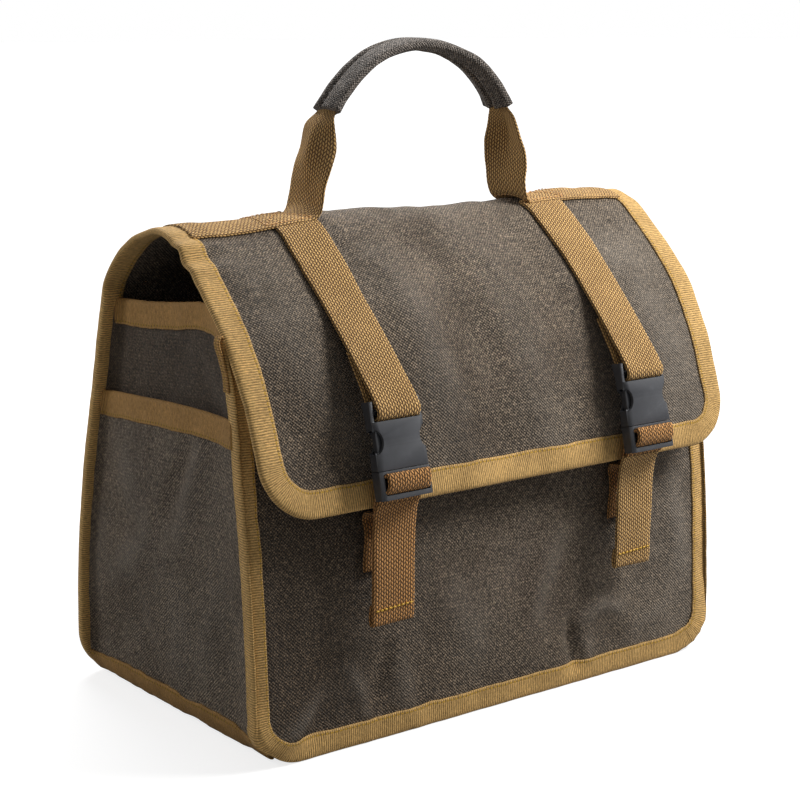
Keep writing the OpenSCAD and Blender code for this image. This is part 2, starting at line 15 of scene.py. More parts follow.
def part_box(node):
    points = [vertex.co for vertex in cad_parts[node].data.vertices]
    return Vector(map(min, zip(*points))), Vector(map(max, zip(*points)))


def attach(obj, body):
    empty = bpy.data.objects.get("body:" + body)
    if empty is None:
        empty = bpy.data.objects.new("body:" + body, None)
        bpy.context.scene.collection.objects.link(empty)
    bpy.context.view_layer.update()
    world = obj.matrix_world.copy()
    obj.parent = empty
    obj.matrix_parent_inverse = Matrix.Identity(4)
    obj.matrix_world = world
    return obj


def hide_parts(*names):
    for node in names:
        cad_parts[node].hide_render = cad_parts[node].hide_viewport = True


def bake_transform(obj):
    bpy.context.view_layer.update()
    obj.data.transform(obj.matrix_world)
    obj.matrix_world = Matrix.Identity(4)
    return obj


bl_info = {
    "name": "Waxed canvas tool bag",
    "version": (1, 0, 0),
    "blender": (4, 5, 0),
    "location": "3D View > Sidebar > Tool Bag",
    "description": "Dresses the packed tool bag in cloth, tape, webbing and plastic",
    "category": "Object",
}

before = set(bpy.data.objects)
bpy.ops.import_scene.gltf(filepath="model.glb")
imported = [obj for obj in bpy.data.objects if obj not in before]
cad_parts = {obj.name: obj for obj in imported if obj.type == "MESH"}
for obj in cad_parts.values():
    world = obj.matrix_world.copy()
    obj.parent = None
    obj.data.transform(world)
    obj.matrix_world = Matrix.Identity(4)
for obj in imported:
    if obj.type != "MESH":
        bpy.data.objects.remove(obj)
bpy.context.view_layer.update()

SIDES = ((-1, "left"), (1, "right"))

# Measures of the bag, in millimetres, from the frame where it has them

# SHIFT is from the side view's Y to the frame's. Each HALF is half a width.
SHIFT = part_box("back_panel")[1].y * 1000 - 112
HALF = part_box("back_binding")[1].x * 1000
FLAP_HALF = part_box("flap_binding")[1].x * 1000
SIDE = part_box("side_panel_right")[1].x * 1000
# The front straps' middle, and the lean and the top of the buckles, in the side view
STRAP_X = 104.0
LEAN = math.radians(12.8)
BUCKLE_Y, BUCKLE_Z = -123.909, 208.915
# Radii of the corner along the base's edge, and of the panels' and the flap's corners
CORNER = 22.0
LOW_ROUND, FLAP_ROUND = 31, 34
# How far in from the panels' edge the cloth ends and the tapes fold
CLOTH_IN, TAPE_IN = 1.6, 1.4
# The pockets' cloth, their lower edge and the ends of their mouth
POCKET_CLOTH = 1.4
POCKET_FOOT = 14.0
MOUTH_FRONT, MOUTH_DEPTH = -93, 174
# The ends of the side panels' top edge
RIM_FRONT, RIM_BACK = -81.5, 63.5
# The clips' face, where the tails leave them
TAIL_Y = -138.66
# A tape's mesh has a row each so many millimetres
TAPE_STEP = 2.6
# A place on the line about which the handle leans
HANDLE_Y, HANDLE_Z = 5.4, 345.55

# The bag's own side view: Y to the back, Z up
BACK = [(112, 0), (111.4, 45), (92, 171.1), (82, 206.1), (69, 254), (63, 272)]
HOOD = [
    (60.7, 279), (51, 291.9), (24, 314), (9, 320.1), (-7, 324), (-30, 319), (-49, 304.9),
    (-68, 287.4), (-87, 266), (-99, 244.9), (-107, 228.1), (-114, 207), (-119, 189.9),
    (-124, 172), (-127.5, 158.1),
]
FRONT = [
    (-112, 0), (-111, 51.8), (-106, 129), (-100, 178.8), (-96.5, 215.1), (-91, 240.1),
    (-83, 258.9),
]
RIM = [(64, 271), (21, 273.1), (-16, 277), (-49, 279.9), (-64, 279), (-82, 258)]


def ease(low, high, value):
    """Goes smoothly from 0 at low to 1 at high."""
    t = min(max((value - low) / (high - low), 0.0), 1.0)
    return t * t * (3 - 2 * t)


def hill(value, middle, half):
    """A smooth hill, 1 at its middle and 0 from half its width on."""
    t = abs(value - middle) / half
    return 0.0 if t >= 1 else (1 - t * t) ** 2


def waves(x, y, size, seed):
    """Slow unevenness of a cloth, from -1 to 1, with waves of about that size."""
    return noise.noise(Vector((x / size, y / size, seed)))


def crease(x, y, start, end, width, height):
    """Height of one soft ridge or valley that runs between two places of a cloth."""
    line = Vector(end) - Vector(start)
    spot = Vector((x, y)) - Vector(start)
    along = spot.dot(line) / line.length_squared
    t = min(max(along, 0.0), 1.0)
    far = (spot - line * t).length / width
    if far > 3:
        return 0.0
    return height * math.exp(-far * far) * (0.45 + 0.55 * math.sin(math.pi * (0.1 + 0.8 * t)))


def creased(x, y, creases):
    return sum(crease(x, y, *c) for c in creases)


class Line:
    """A smooth line through flat places, walked by its length in millimetres."""

    def __init__(self, places):
        spots = [Vector(p) for p in places]
        steps = [b - a for a, b in zip(spots, spots[1:])]
        ways = [steps[0].normalized()]
        for a, b in zip(steps, steps[1:]):
            ways.append((a.normalized() * b.length + b.normalized() * a.length).normalized())
        ways.append(steps[-1].normalized())
        self.spots = []
        for i, step in enumerate(steps):
            reach = step.length / 3
            bend = interpolate_bezier(
                spots[i], spots[i] + ways[i] * reach,
                spots[i + 1] - ways[i + 1] * reach, spots[i + 1], 25,
            )
            self.spots += bend[:-1] if i + 1 < len(steps) else bend
        steps = ((b - a).length for a, b in zip(self.spots, self.spots[1:]))
        self.lengths = [0.0, *accumulate(steps)]
        self.length = self.lengths[-1]

    def at(self, s):
        """Place and direction at length s. Beyond its ends the line runs straight on."""
        i = min(max(bisect_right(self.lengths, s) - 1, 0), len(self.spots) - 2)
        a, b = self.spots[i], self.spots[i + 1]
        way = (b - a).normalized()
        if 0 < i < len(self.spots) - 2:
            t = (s - self.lengths[i]) / max(self.lengths[i + 1] - self.lengths[i], 1e-9)
            before = (a - self.spots[i - 1]).normalized()
            after = (self.spots[i + 2] - b).normalized()
            way = ((before + way) * (1 - t) + (way + after) * t).normalized()
        return a + (b - a).normalized() * (s - self.lengths[i]), way

    def when(self, axis, value):
        """Length at which the line first passes a value of one coordinate."""
        for i, (a, b) in enumerate(zip(self.spots, self.spots[1:])):
            if (a[axis] - value) * (b[axis] - value) <= 0 and a[axis] != b[axis]:
                share = (value - a[axis]) / (b[axis] - a[axis])
                return self.lengths[i] + share * (self.lengths[i + 1] - self.lengths[i])
        raise ValueError(f"the line doesn't pass {value}")


back_hood = Line(BACK + HOOD)
front_line = Line(FRONT)
rim_line = Line(RIM)
HINGE_S = back_hood.when(1, 275.5)
RIDGE_S = back_hood.when(0, -10.5)
FLAP_END = back_hood.length
FRONT_END = front_line.length

# How each cloth is creased: where a crease starts and ends, its width and its height

HOOD_CREASES = [
    ((-60, 430), (-44, 560), 15, 2.2), ((-24, 420), (-6, 520), 17, -1.6),
    ((22, 440), (30, 590), 20, 1.6), ((66, 420), (74, 520), 14, -1.5),
    ((-150, 430), (-140, 560), 18, 1.3), ((-166, 520), (-120, 610), 14, -1.4),
    ((140, 450), (156, 570), 18, 1.4), ((-10, 560), (40, 612), 14, -1.2),
    ((-70, 560), (-30, 605), 10, 1.1), ((96, 570), (150, 606), 14, 1.2),
    ((-128, 120), (-40, 170), 18, 1.5), ((40, 90), (120, 150), 22, -1.6),
    ((-30, 60), (-60, 14), 10, 1.4), ((80, 50), (60, 16), 9, -1.3),
]
FRONT_CREASES = [
    ((-150, 36), (-174, 14), 6, 2.6), ((-140, 40), (-152, 16), 7, -2.2),
    ((-126, 52), (-113, 22), 6, 2.2), ((-96, 58), (-108, 26), 6, -2.0),
    ((-88, 50), (-80, 20), 8, 1.6), ((60, 46), (65, 14), 5, -3.0),
    ((68, 43), (86, 53), 6, 2.4), ((86, 53), (108, 46), 6, 2.2), ((74, 30), (78, 16), 5, 1.6),
    ((52, 108), (28, 62), 9, 2.2), ((18, 70), (-4, 30), 12, -1.6), ((160, 128), (166, 66), 9, 1.8),
    ((148, 90), (140, 52), 9, -1.6), ((-42, 84), (-20, 40), 14, 1.6),
    ((-172, 120), (-170, 60), 10, -1.4), ((118, 26), (150, 40), 7, 1.4),
]
SIDE_CREASES = [
    ((-31, 186), (-3, 142), 8, -3.4), ((-3, 142), (26, 98), 10, -2.4),
    ((-44, 186), (-18, 128), 8, 2.6), ((-3, 128), (66, 84), 12, 2.6),
    ((58, 176), (30, 130), 12, 1.8), ((-60, 96), (-40, 40), 12, 1.7),
    ((40, 60), (20, 26), 10, -1.7), ((-14, 70), (-8, 28), 12, 1.5), ((84, 120), (90, 60), 12, 1.5),
]


def hood_out(x, s):
    """How far the back and the hood stand out from their CAD face at a place, in mm."""
    edge = ease(0, 34, FLAP_HALF - abs(x))
    ends = ease(0, 30, s) * ease(0, 26, FLAP_END - s)
    out = 2.2 * ease(0, 130, HALF - abs(x)) * hill(s, 130, 150)
    out += 1.9 * waves(x, s * 0.7, 74, 1.7) * edge * ends
    out += 1.1 * waves(x * 1.5, s * 0.6, 30, 4.1) * (0.4 + 0.6 * edge)
    out += 0.45 * waves(x, s, 11, 8.3)
    out += 1.35 * creased(x, s, HOOD_CREASES) * (0.3 + 0.7 * edge) * (0.5 + 0.5 * ends)
    out -= 7.0 * hill(s, RIDGE_S + 70, 150) * ease(60, 192, -x)
    out -= 1.6 * hill(s, RIDGE_S + 60, 130) * ease(120, 195, x)
    out -= 1.6 * hill(s, RIDGE_S, 90) * hill(x, 20, 110)
    pleat = ease(150, 192, -x) * hill(s, RIDGE_S + 34, 26)
    return out + 1.7 * pleat * math.sin((s - RIDGE_S) / 3.4)


def hood_spot(x, s, out=0.0):
    """A place on the outer face of the back and the hood, in metres."""
    spot, way = back_hood.at(s)
    out += hood_out(x, s)
    turn = ease(20, 0, HALF - abs(x)) * ease(HINGE_S + 20, HINGE_S - 40, s) * 1.2
    out -= turn
    return Vector((x, spot.x + SHIFT + way.y * out, spot.y - way.x * out)) / 1000


def front_out(x, s):
    """How far the front panel stands out from its CAD face at a place, in mm."""
    edge = ease(2, 40, HALF - abs(x))
    ends = ease(4, 34, s)
    out = 2.0 * ease(0, 120, HALF - abs(x)) * hill(s, 95, 130)
    out += 2.1 * waves(x, s, 58, 2.9) * edge * ends
    out += 1.1 * waves(x * 1.3, s, 25, 6.6) * (0.3 + 0.7 * edge * ends)
    out += 0.4 * waves(x, s, 9, 3.3)
    out += 1.25 * creased(x, s, FRONT_CREASES)
    out += 3.5 * hill(abs(x), STRAP_X, 46) * hill(s, 122, 52)
    return out - 5.0 * ease(15, -4, HALF - abs(x)) * ease(10, 60, s)


def front_spot(x, s, out=0.0):
    """A place on the outer face of the front panel, in metres."""
    spot, way = front_line.at(s)
    out += front_out(x, s)
    return Vector((x, spot.x + SHIFT - way.y * out, spot.y + way.x * out)) / 1000


FRONT_Y = [front_line.at(front_line.when(1, max(z, 0.01)))[0].x for z in range(258)]
BACK_Y = [back_hood.at(back_hood.when(1, max(z, 0.01)))[0].x for z in range(258)]


def depth_at(z):
    """Y of the front panel's and the back panel's outer face at a height."""
    z = min(max(z, 0.0), 256.9)
    i = int(z)
    part = z - i
    return tuple(t[i] + (t[i + 1] - t[i]) * part for t in (FRONT_Y, BACK_Y))


def side_out(y, z, pocket):
    """How far a side panel or its pocket bellies out from the side's plane, in mm."""
    front, back = depth_at(z)
    inner = ease(4, 46, min(y - front, back - y))
    out = 1.6 * waves(y, z, 62, 5.2) * inner + 0.7 * waves(y, z * 0.8, 24, 9.4) * inner
    out += 0.3 * waves(y, z, 9, 1.1)
    out += 8.0 * math.exp(-((max(y - front, 0) / 26) ** 2))
    out += 5.5 * math.exp(-((max(back - y, 0) / 9) ** 2))
    if pocket:
        rise = ease(22, 190, z)
        out += 1.4 + 4.6 * rise * math.sin(math.pi * min(max((y - front) / (back - front), 0), 1))
        out += creased(y, z, SIDE_CREASES)
    else:
        out -= (2.5 * hill(z, 150, 130) + 1.2 * hill(z, 270, 50)) * inner
    return out


def mesh_piece(name, bm, finish):
    """Makes one finished object of a bmesh, in its own place in the frame."""
    mesh = bpy.data.meshes.new(name)
    bm.to_mesh(mesh)
    bm.free()
    piece = bpy.data.objects.new(name, mesh)
    bpy.context.scene.collection.objects.link(piece)
    for polygon in mesh.polygons:
        polygon.use_smooth = True
    mesh.materials.append(finish)
    return piece


def laid(columns, rows, place, uv):
    """A grid whose every point is laid by place(a, b), with a and b from 0 to 1."""
    bm = bmesh.new()
    cloth = bm.loops.layers.uv.new("cloth")
    bmesh.ops.create_grid(bm, x_segments=columns, y_segments=rows, size=0.5)
    for face in bm.faces:
        for loop in face.loops:
            loop[cloth].uv = uv(loop.vert.co.x + 0.5, loop.vert.co.y + 0.5)
    for vert in bm.verts:
        vert.co = place(vert.co.x + 0.5, vert.co.y + 0.5)
    return bm


def sheet_piece(name, finish, columns, rows, place, uv, thick, facing):
    """A cloth laid by a function, with its thickness on the inner side.

    facing is the way that its outer face looks, a third of the way along it."""
    bm = laid(columns, rows, place, uv)
    bm.faces.ensure_lookup_table()
    bm.normal_update()
    sample = bm.faces[(rows // 3) * columns + columns // 2]
    if sample.normal.dot(Vector(facing)) < 0:
        bmesh.ops.reverse_faces(bm, faces=bm.faces)
    piece = mesh_piece(name, bm, finish)
    solid = piece.modifiers.new("thickness", "SOLIDIFY")
    solid.thickness = thick / 1000
    solid.offset = -1
    return piece


def swept(name, finish, section, rows, place, length, closed=False, rim=None):
    """A closed section of (across, out) places swept by place(across, out, t), t from 0 to 1.

    The UV map holds the distance across the section and the length along it, in metres.
    With rim, the first is the distance to the nearer edge of a folded tape instead."""
    ring = [*section, section[0]]
    last = len(section)
    across = [0.0, *accumulate(math.dist(a, b) for a, b in zip(ring, ring[1:]))]
    if rim:
        across = [*rim, rim[0]]
    bm = laid(
        last, rows,
        lambda a, b: place(*ring[round(a * last)], b),
        lambda a, b: (across[round(a * last)] / 1000, b * length / 1000),
    )
    bmesh.ops.remove_doubles(bm, verts=bm.verts, dist=1e-6)
    if not closed:
        bmesh.ops.holes_fill(bm, edges=[e for e in bm.edges if e.is_boundary], sides=0)
    bmesh.ops.recalc_face_normals(bm, faces=bm.faces)
    return mesh_piece(name, bm, finish)


def tape_section(width, inner, cloth, thick):
    """Section of a tape folded over a cloth's edge: (distance in from the edge, out), and rims.

    width is the leg on the outer face and inner the leg behind."""
    under = -cloth
    outer = [
        (width, 0.0), (width, thick * 0.8), (width - 0.8, thick), (width * 0.75, thick * 1.05),
        (width * 0.5, thick * 1.1), (width * 0.25, thick * 1.15), (1.2, thick * 1.05),
        (-0.4, thick * 0.55), (-1.2, -0.3), (-1.2, under + 0.3), (-0.4, under - thick * 0.55),
        (1.2, under - thick * 1.05), (inner * 0.3, under - thick * 1.15),
        (inner * 0.6, under - thick * 1.1), (inner - 0.8, under - thick),
        (inner, under - thick * 0.8),
    ]
    back = [(inner, under), (inner * 0.4, under), (0.4, under), (0.4, 0.0), (width * 0.5, 0.0)]
    runs = [0.0, *accumulate(math.dist(a, b) for a, b in zip(outer, outer[1:]))]
    return outer + back, [min(r, runs[-1] - r) for r in runs] + [0.0] * len(back)


def strap_section(width, thick, parts=10):
    """Section of a flat woven strap with rounded edges, centred: (across, out)."""
    half, t = width / 2, thick / 2
    top = [
        (half, t * 0.4), (half - 0.35, t * 0.92),
        *((half - width * i / parts, t) for i in range(1, parts)),
        (-half + 0.35, t * 0.92), (-half, t * 0.4),
    ]
    return top + [(-a, -b) for a, b in top]


def straight(length, place, inward):
    """A straight part of an edge: its length, and (place, inward) at a length along it."""
    return length, lambda run: (Vector(place(run)), Vector(inward))


def rounded(x, s, radius, start, way):
    """A quarter round about a place. It starts at an angle and turns left, or right for -1."""
    def at(run):
        turn = start + way * run / radius
        out = Vector((math.cos(turn), math.sin(turn)))
        return Vector((x, s)) + out * radius, -out

    return radius * math.pi / 2, at


def joined(*parts):
    """The whole length of an edge's parts, and (place, inward) at a length along them."""
    def walk(run):
        for length, at in parts[:-1]:
            if run < length:
                return at(run)
            run -= length
        return parts[-1][1](run)

    return sum(length for length, _ in parts), walk


def open_edge(half, radius, low, high):
    """A panel's edge as (x, s): down its left side, along the bottom and up its right."""
    side = high - low - radius
    middle, floor = half - radius, low + radius
    return joined(
        straight(side, lambda run: (-half, high - run), (1, 0)),
        rounded(-middle, floor, radius, math.pi, 1),
        straight(2 * middle, lambda run: (-middle + run, low), (0, 1)),
        rounded(middle, floor, radius, -math.pi / 2, 1),
        straight(side, lambda run: (half, floor + run), (-1, 0)),
    )


def closed_edge(low_half, low, low_radius, high_half, high, high_radius):
    """The edge round the back panel, the hood and the flap, from its lower left corner up."""
    start, end = low + low_radius, high - high_radius
    bottom, top = low_half - low_radius, high_half - high_radius

    def half(s):
        return low_half + (high_half - low_half) * ease(HINGE_S, HINGE_S + 60, s)

    return joined(
        straight(end - start, lambda run: (-half(start + run), start + run), (1, 0)),
        rounded(-top, end, high_radius, math.pi, -1),
        straight(2 * top, lambda run: (-top + run, high), (0, -1)),
        rounded(top, end, high_radius, math.pi / 2, -1),
        straight(end - start, lambda run: (half(end - run), end - run), (-1, 0)),
        rounded(bottom, start, low_radius, 0, -1),
        straight(2 * bottom, lambda run: (bottom - run, low), (0, 1)),
        rounded(-bottom, start, low_radius, -math.pi / 2, -1),
    )


def narrowed(half, radius, gap):
    """Half width of a panel with round corners at a distance from its straight end."""
    if gap >= radius:
        return half
    return half - radius + math.sqrt(max(radius**2 - (radius - max(gap, 0.0)) ** 2, 0.0))


def puckered(run, seed, by):
    """Small unevenness of a sewn tape's width along its run, in mm."""
    return by * (waves(run, 0, 23, seed) + 0.7 * waves(run, 0, 8.5, seed + 3))


# Finishes


def tint(code):
    """An sRGB hex colour as the linear colour that shaders take."""
    parts = [int(code[i : i + 2], 16) / 255 for i in (1, 3, 5)]
    return tuple(c / 12.92 if c <= 0.04045 else ((c + 0.055) / 1.055) ** 2.4 for c in parts)


def rgba(colour):
    return (*colour, 1.0)


def shade(colour, by):
    """A colour times one factor, or times one for each channel."""
    by = by if isinstance(by, tuple) else (by, by, by)
    return tuple(min(c * b, 1.0) for c, b in zip(colour, by))


def tones(colour, *stops):
    """A ramp's stops from shades of one colour: (place, factor)."""
    return [(place, shade(colour, by)) for place, by in stops]


def node(tree, kind, sockets=(), operation=None, stops=(), **settings):
    """Adds a shader node with its settings, and its sockets' values or links.

    Sockets come in order or by key, and a colour ramp's stops as (place, colour)."""
    made = tree.nodes.new("ShaderNode" + kind)
    if operation:
        made.operation = operation
    for key, value in settings.items():
        setattr(made, key, value)
    for key, value in sockets.items() if isinstance(sockets, dict) else enumerate(sockets):
        if isinstance(value, bpy.types.Node):
            value = value.outputs[0]
        if isinstance(value, bpy.types.NodeSocket):
            tree.links.new(value, made.inputs[key])
        else:
            made.inputs[key].default_value = value
    if stops:
        elements = made.color_ramp.elements
        while len(elements) < len(stops):
            elements.new(0.5)
        for element, (place, colour) in zip(elements, stops):
            element.position = place
            element.color = rgba(colour)
    return made


def new_finish(name):
    """A new empty material, and the function that adds nodes to it."""
    material = bpy.data.materials.new(name)
    material.use_nodes = True
    material.node_tree.nodes.clear()
    return material, partial(node, material.node_tree)


def surfaced(add, strength, distance, height, sockets):
    """Ends a finish with its shader, which has a bump of that height in metres."""
    bump = add("Bump", {"Strength": strength, "Distance": distance, "Height": height})
    shader = add("BsdfPrincipled", {"Normal": bump, **sockets})
    add("OutputMaterial", {"Surface": shader})


def clouded(add, base, cloud, stops):
    """A colour with slow clouds over it."""
    haze = add("ValToRGB", [cloud], stops=stops)
    sockets = {0: 1.0, 6: base, 7: haze}
    return add("Mix", sockets, data_type="RGBA", blend_type="MULTIPLY").outputs[2]


def covered(add, base, *layers):
    """A colour with others over it: (share, colour)."""
    for share, over in layers:
        base = add("Mix", {0: share, 6: base, 7: rgba(over)}, data_type="RGBA").outputs[2]
    return base


def waxed_canvas(name, colour, pitch):
    """Waxed cotton canvas, plain woven of thick yarn and soaked in wax.

    To the eye: a grainy plain weave, cloudy where the wax is thick, paler where it has
    cracked over folds, with a low broad sheen. Real yarn is about 0.6 mm: the pitch is
    drawn coarser so that it shows."""
    material, add = new_finish(name)
    place = add("UVMap", uv_map="cloth")
    slub = add("TexNoise", {"Vector": place, "Scale": 150.0, "Detail": 2.0})
    sway = add("Math", [slub, 3.4], "MULTIPLY")
    sines = []
    for axis in add("SeparateXYZ", [place]).outputs[:2]:
        turn = add("Math", [axis, 2 * math.pi / pitch, sway], "MULTIPLY_ADD")
        sines.append(add("Math", [turn], "SINE"))
    check = add("Math", sines, "MULTIPLY")
    rib = add("Math", [sines[1], 0.14], "MULTIPLY")
    weave = add("Math", [check, 0.86, rib], "MULTIPLY_ADD")
    yarns = []
    for stretch, roughness in (((300.0, 760.0, 1.0), 0.75), ((820.0, 240.0, 1.0), 0.7)):
        drawn = add("Mapping", {"Vector": place, "Scale": stretch})
        yarns.append(add(
            "TexNoise", {"Vector": drawn, "Scale": 1.0, "Detail": 3.0, "Roughness": roughness}
        ))
    grain = add("Math", yarns, "ADD")
    grain = add("Math", [grain, -1.0], "ADD")
    # Painted shade, with random patches of deeper wax: it darkens the tone here and the colour
    # below
    soaked = add("Attribute", attribute_name="painted_shade_and_soak").outputs["Fac"]
    tone = 0.47
    for part, by in ((weave, 0.42), (grain, 1.9), (soaked, -0.2)):
        tone = add("Math", [part, by, tone], "MULTIPLY_ADD")
    stops = tones(colour, (0.06, 0.2), (0.32, 0.5), (0.5, 0.9), (0.66, 1.45), (0.95, 2.9))
    woven = add("ValToRGB", [tone], stops=stops)
    cloud = add("TexNoise", {"Vector": place, "Scale": 21.0, "Detail": 5.0, "Roughness": 0.62})
    waxed = clouded(add, woven, cloud, [
        (0.28, (0.68, 0.66, 0.64)), (0.5, (1.0, 1.0, 1.0)), (0.74, (1.26, 1.24, 1.2)),
    ])
    # The painted shade darkens and browns the colour
    sockets = {0: soaked, 6: waxed, 7: (0.62, 0.53, 0.44, 1)}
    waxed = add("Mix", sockets, data_type="RGBA", blend_type="MULTIPLY").outputs[2]
    # Lighter where worn on creases and in random patches, plus a painted highlight
    worn_and_lit = add("Attribute", attribute_name="wear_and_painted_light").outputs["Fac"]
    patchy = add("Math", [cloud, 1.5], "MULTIPLY")
    rubbed = add("Math", [worn_and_lit, patchy], "MULTIPLY", use_clamp=True)
    lint = add("TexNoise", {"Vector": place, "Scale": 520.0, "Detail": 1.0})
    lint = add("Math", [lint, 0.79], "GREATER_THAN")
    lint = add("Math", [lint, 0.55], "MULTIPLY")
    base = covered(add, waxed, (rubbed, tint("#90877c")), (lint, tint("#b3a898")))
    rumple = add("TexNoise", {"Vector": place, "Scale": 95.0, "Detail": 4.0})
    height = add("Math", [weave, 0.6, grain], "MULTIPLY_ADD")
    height = add("Math", [rumple, 2.6, height], "MULTIPLY_ADD")
    surfaced(add, 1.0, 0.0009, height, {
        "Base Color": base, "Roughness": add("MapRange", [cloud, 0.3, 0.7, 0.74, 0.54]),
        "Specular IOR Level": 0.26, "Sheen Weight": 0.02, "Sheen Roughness": 0.45,
    })
    return material


def edge_tape(name, colour, thread_colour, pitch=0.0016):
    """Woven cotton binding tape, ribbed crosswise, folded and pressed over the edge.

    To the eye: fine ribs across it, a slightly darker selvedge, and one row of thread
    2.8 mm in from each selvedge. Real ribs are about 0.7 mm, drawn coarser so that they
    show. The UV map's U is the distance from the nearer selvedge."""
    material, add = new_finish(name)
    place = add("UVMap", uv_map="cloth")
    inset, run = add("SeparateXYZ", [place]).outputs[:2]
    sway = add("TexNoise", {"Vector": place, "Scale": 90.0, "Detail": 1.0})
    sway = add("Math", [sway, 2.4], "MULTIPLY")
    turn = add("Math", [run, 2 * math.pi / pitch, sway], "MULTIPLY_ADD")
    rib = add("Math", [turn], "SINE")
    drawn = add("Mapping", {"Vector": place, "Scale": (300.0, 1300.0, 1.0)})
    yarn = add("TexNoise", {"Vector": drawn, "Scale": 1.0, "Detail": 3.0})
    fine = add("TexNoise", {"Vector": place, "Scale": 900.0, "Detail": 2.0})
    tone = add("Math", [rib, 0.2, yarn], "MULTIPLY_ADD")
    tone = add("Math", [fine, 0.5, tone], "MULTIPLY_ADD")
    tone = add("Math", [tone, -0.25], "ADD")
    stops = tones(colour, (0.1, 0.34), (0.36, 0.7), (0.55, 1.0), (0.85, 1.65))
    woven = add("ValToRGB", [tone], stops=stops)
    cloud = add("TexNoise", {"Vector": place, "Scale": 34.0, "Detail": 4.0})
    soiled = clouded(add, woven, cloud, [
        (0.3, (0.8, 0.79, 0.77)), (0.55, (1.0, 1.0, 1.0)), (0.75, (1.12, 1.1, 1.06)),
    ])
    edge = add("MapRange", [inset, 0.0, 0.0011, 0.55, 0.0])
    row = add("Math", [inset, 0.0028], "SUBTRACT")
    row = add("Math", [row], "ABSOLUTE")
    row = add("Math", [row, 0.00055], "LESS_THAN")
    dash = add("Math", [run, 1 / 0.0034], "MULTIPLY")
    dash = add("Math", [dash], "FRACT")
    dash = add("Math", [dash, 0.62], "LESS_THAN")
    sewn = add("Math", [row, dash], "MULTIPLY")
    hole = add("Math", [row, sewn], "SUBTRACT")
    hole = add("Math", [hole, 0.65], "MULTIPLY")
    height = yarn
    for part, by in ((rib, 0.4), (sewn, 0.9), (row, -0.5)):
        height = add("Math", [part, by, height], "MULTIPLY_ADD")
    surfaced(add, 0.7, 0.00035, height, {
        "Base Color": covered(
            add, soiled, (edge, shade(colour, 0.36)), (sewn, thread_colour),
            (hole, shade(colour, 0.25)),
        ),
        "Roughness": 0.72, "Specular IOR Level": 0.22, "Sheen Weight": 0.06,
        "Sheen Roughness": 0.4,
    })
    return material


def woven_strap(name, colour, column=0.0019, stitch=0.0027):
    """Heavy cotton webbing: fat warp yarns in columns that dip under the weft by turns.

    To the eye: columns along the strap with dark pits, staggered from one column to the
    next, and tops that lean by turns. Columns are as wide as real ones, about 1.9 mm.
    The UV map's U runs across the strap and V along it."""
    material, add = new_finish(name)
    place = add("UVMap", uv_map="cloth")
    wide, long = add("SeparateXYZ", [place]).outputs[:2]
    sway = add("TexNoise", {"Vector": place, "Scale": 130.0, "Detail": 2.0})
    sway = add("Math", [sway, -0.5], "ADD")
    lane = add("Math", [wide, 1 / column], "MULTIPLY")
    lane = add("Math", [sway, 0.25, lane], "MULTIPLY_ADD")
    number = add("Math", [lane], "FLOOR")
    inside = add("Math", [lane], "FRACT")
    odd = add("Math", [number, 2.0], "FLOORED_MODULO")
    lean = add("Math", [odd, 2.0, -1.0], "MULTIPLY_ADD")
    tilt = add("Math", [inside, -0.5], "ADD")
    tilt = add("Math", [tilt, lean], "MULTIPLY")
    beat = add("Math", [long, 1 / stitch], "MULTIPLY")
    for part, by in ((odd, 0.5), (tilt, 0.55), (sway, 0.3)):
        beat = add("Math", [part, by, beat], "MULTIPLY_ADD")
    beat = add("Math", [beat, math.pi], "MULTIPLY")
    beat = add("Math", [beat], "SINE")
    top = add("Math", [beat], "ABSOLUTE")
    top = add("Math", [top, 0.55], "POWER")
    bulge = add("Math", [inside, math.pi], "MULTIPLY")
    bulge = add("Math", [bulge], "SINE")
    bulge = add("Math", [bulge, 0.6], "POWER")
    height = add("Math", [top, bulge], "MULTIPLY")
    drawn = add("Mapping", {"Vector": place, "Scale": (2600.0, 500.0, 1.0)})
    fibre = add("TexNoise", {"Vector": drawn, "Scale": 1.0, "Detail": 3.0})
    tone = add("Math", [height, 0.62], "MULTIPLY")
    tone = add("Math", [fibre, 0.55, tone], "MULTIPLY_ADD")
    stops = tones(colour, (0.26, 0.1), (0.5, 0.4), (0.68, 1.0), (0.92, 2.1))
    woven = add("ValToRGB", [tone], stops=stops)
    cloud = add("TexNoise", {"Vector": place, "Scale": 30.0, "Detail": 4.0})
    soiled = clouded(add, woven, cloud, [
        (0.3, (0.82, 0.8, 0.78)), (0.55, (1.0, 1.0, 1.0)), (0.75, (1.12, 1.1, 1.07)),
    ])
    relief = add("Math", [fibre, 0.3, height], "MULTIPLY_ADD")
    surfaced(add, 1.0, 0.0009, relief, {
        "Base Color": soiled, "Roughness": 0.75, "Specular IOR Level": 0.2,
        "Sheen Weight": 0.07, "Sheen Roughness": 0.4,
    })
    return material


def sewing_thread(name, colour):
    """Twisted polyester thread: a smooth fibre with a spiral of light and dark."""
    material, add = new_finish(name)
    place = add("TexCoord").outputs["Object"]
    twist = add("Mapping", {"Vector": place, "Scale": (2400.0, 900.0, 2400.0)})
    grain = add("TexNoise", {"Vector": twist, "Scale": 1.0, "Detail": 2.0})
    stops = tones(colour, (0.3, 0.62), (0.55, 1.0), (0.75, 1.3))
    spiral = add("ValToRGB", [grain], stops=stops)
    surfaced(add, 0.4, 0.0001, grain, {"Base Color": spiral, "Roughness": 0.45})
    return material


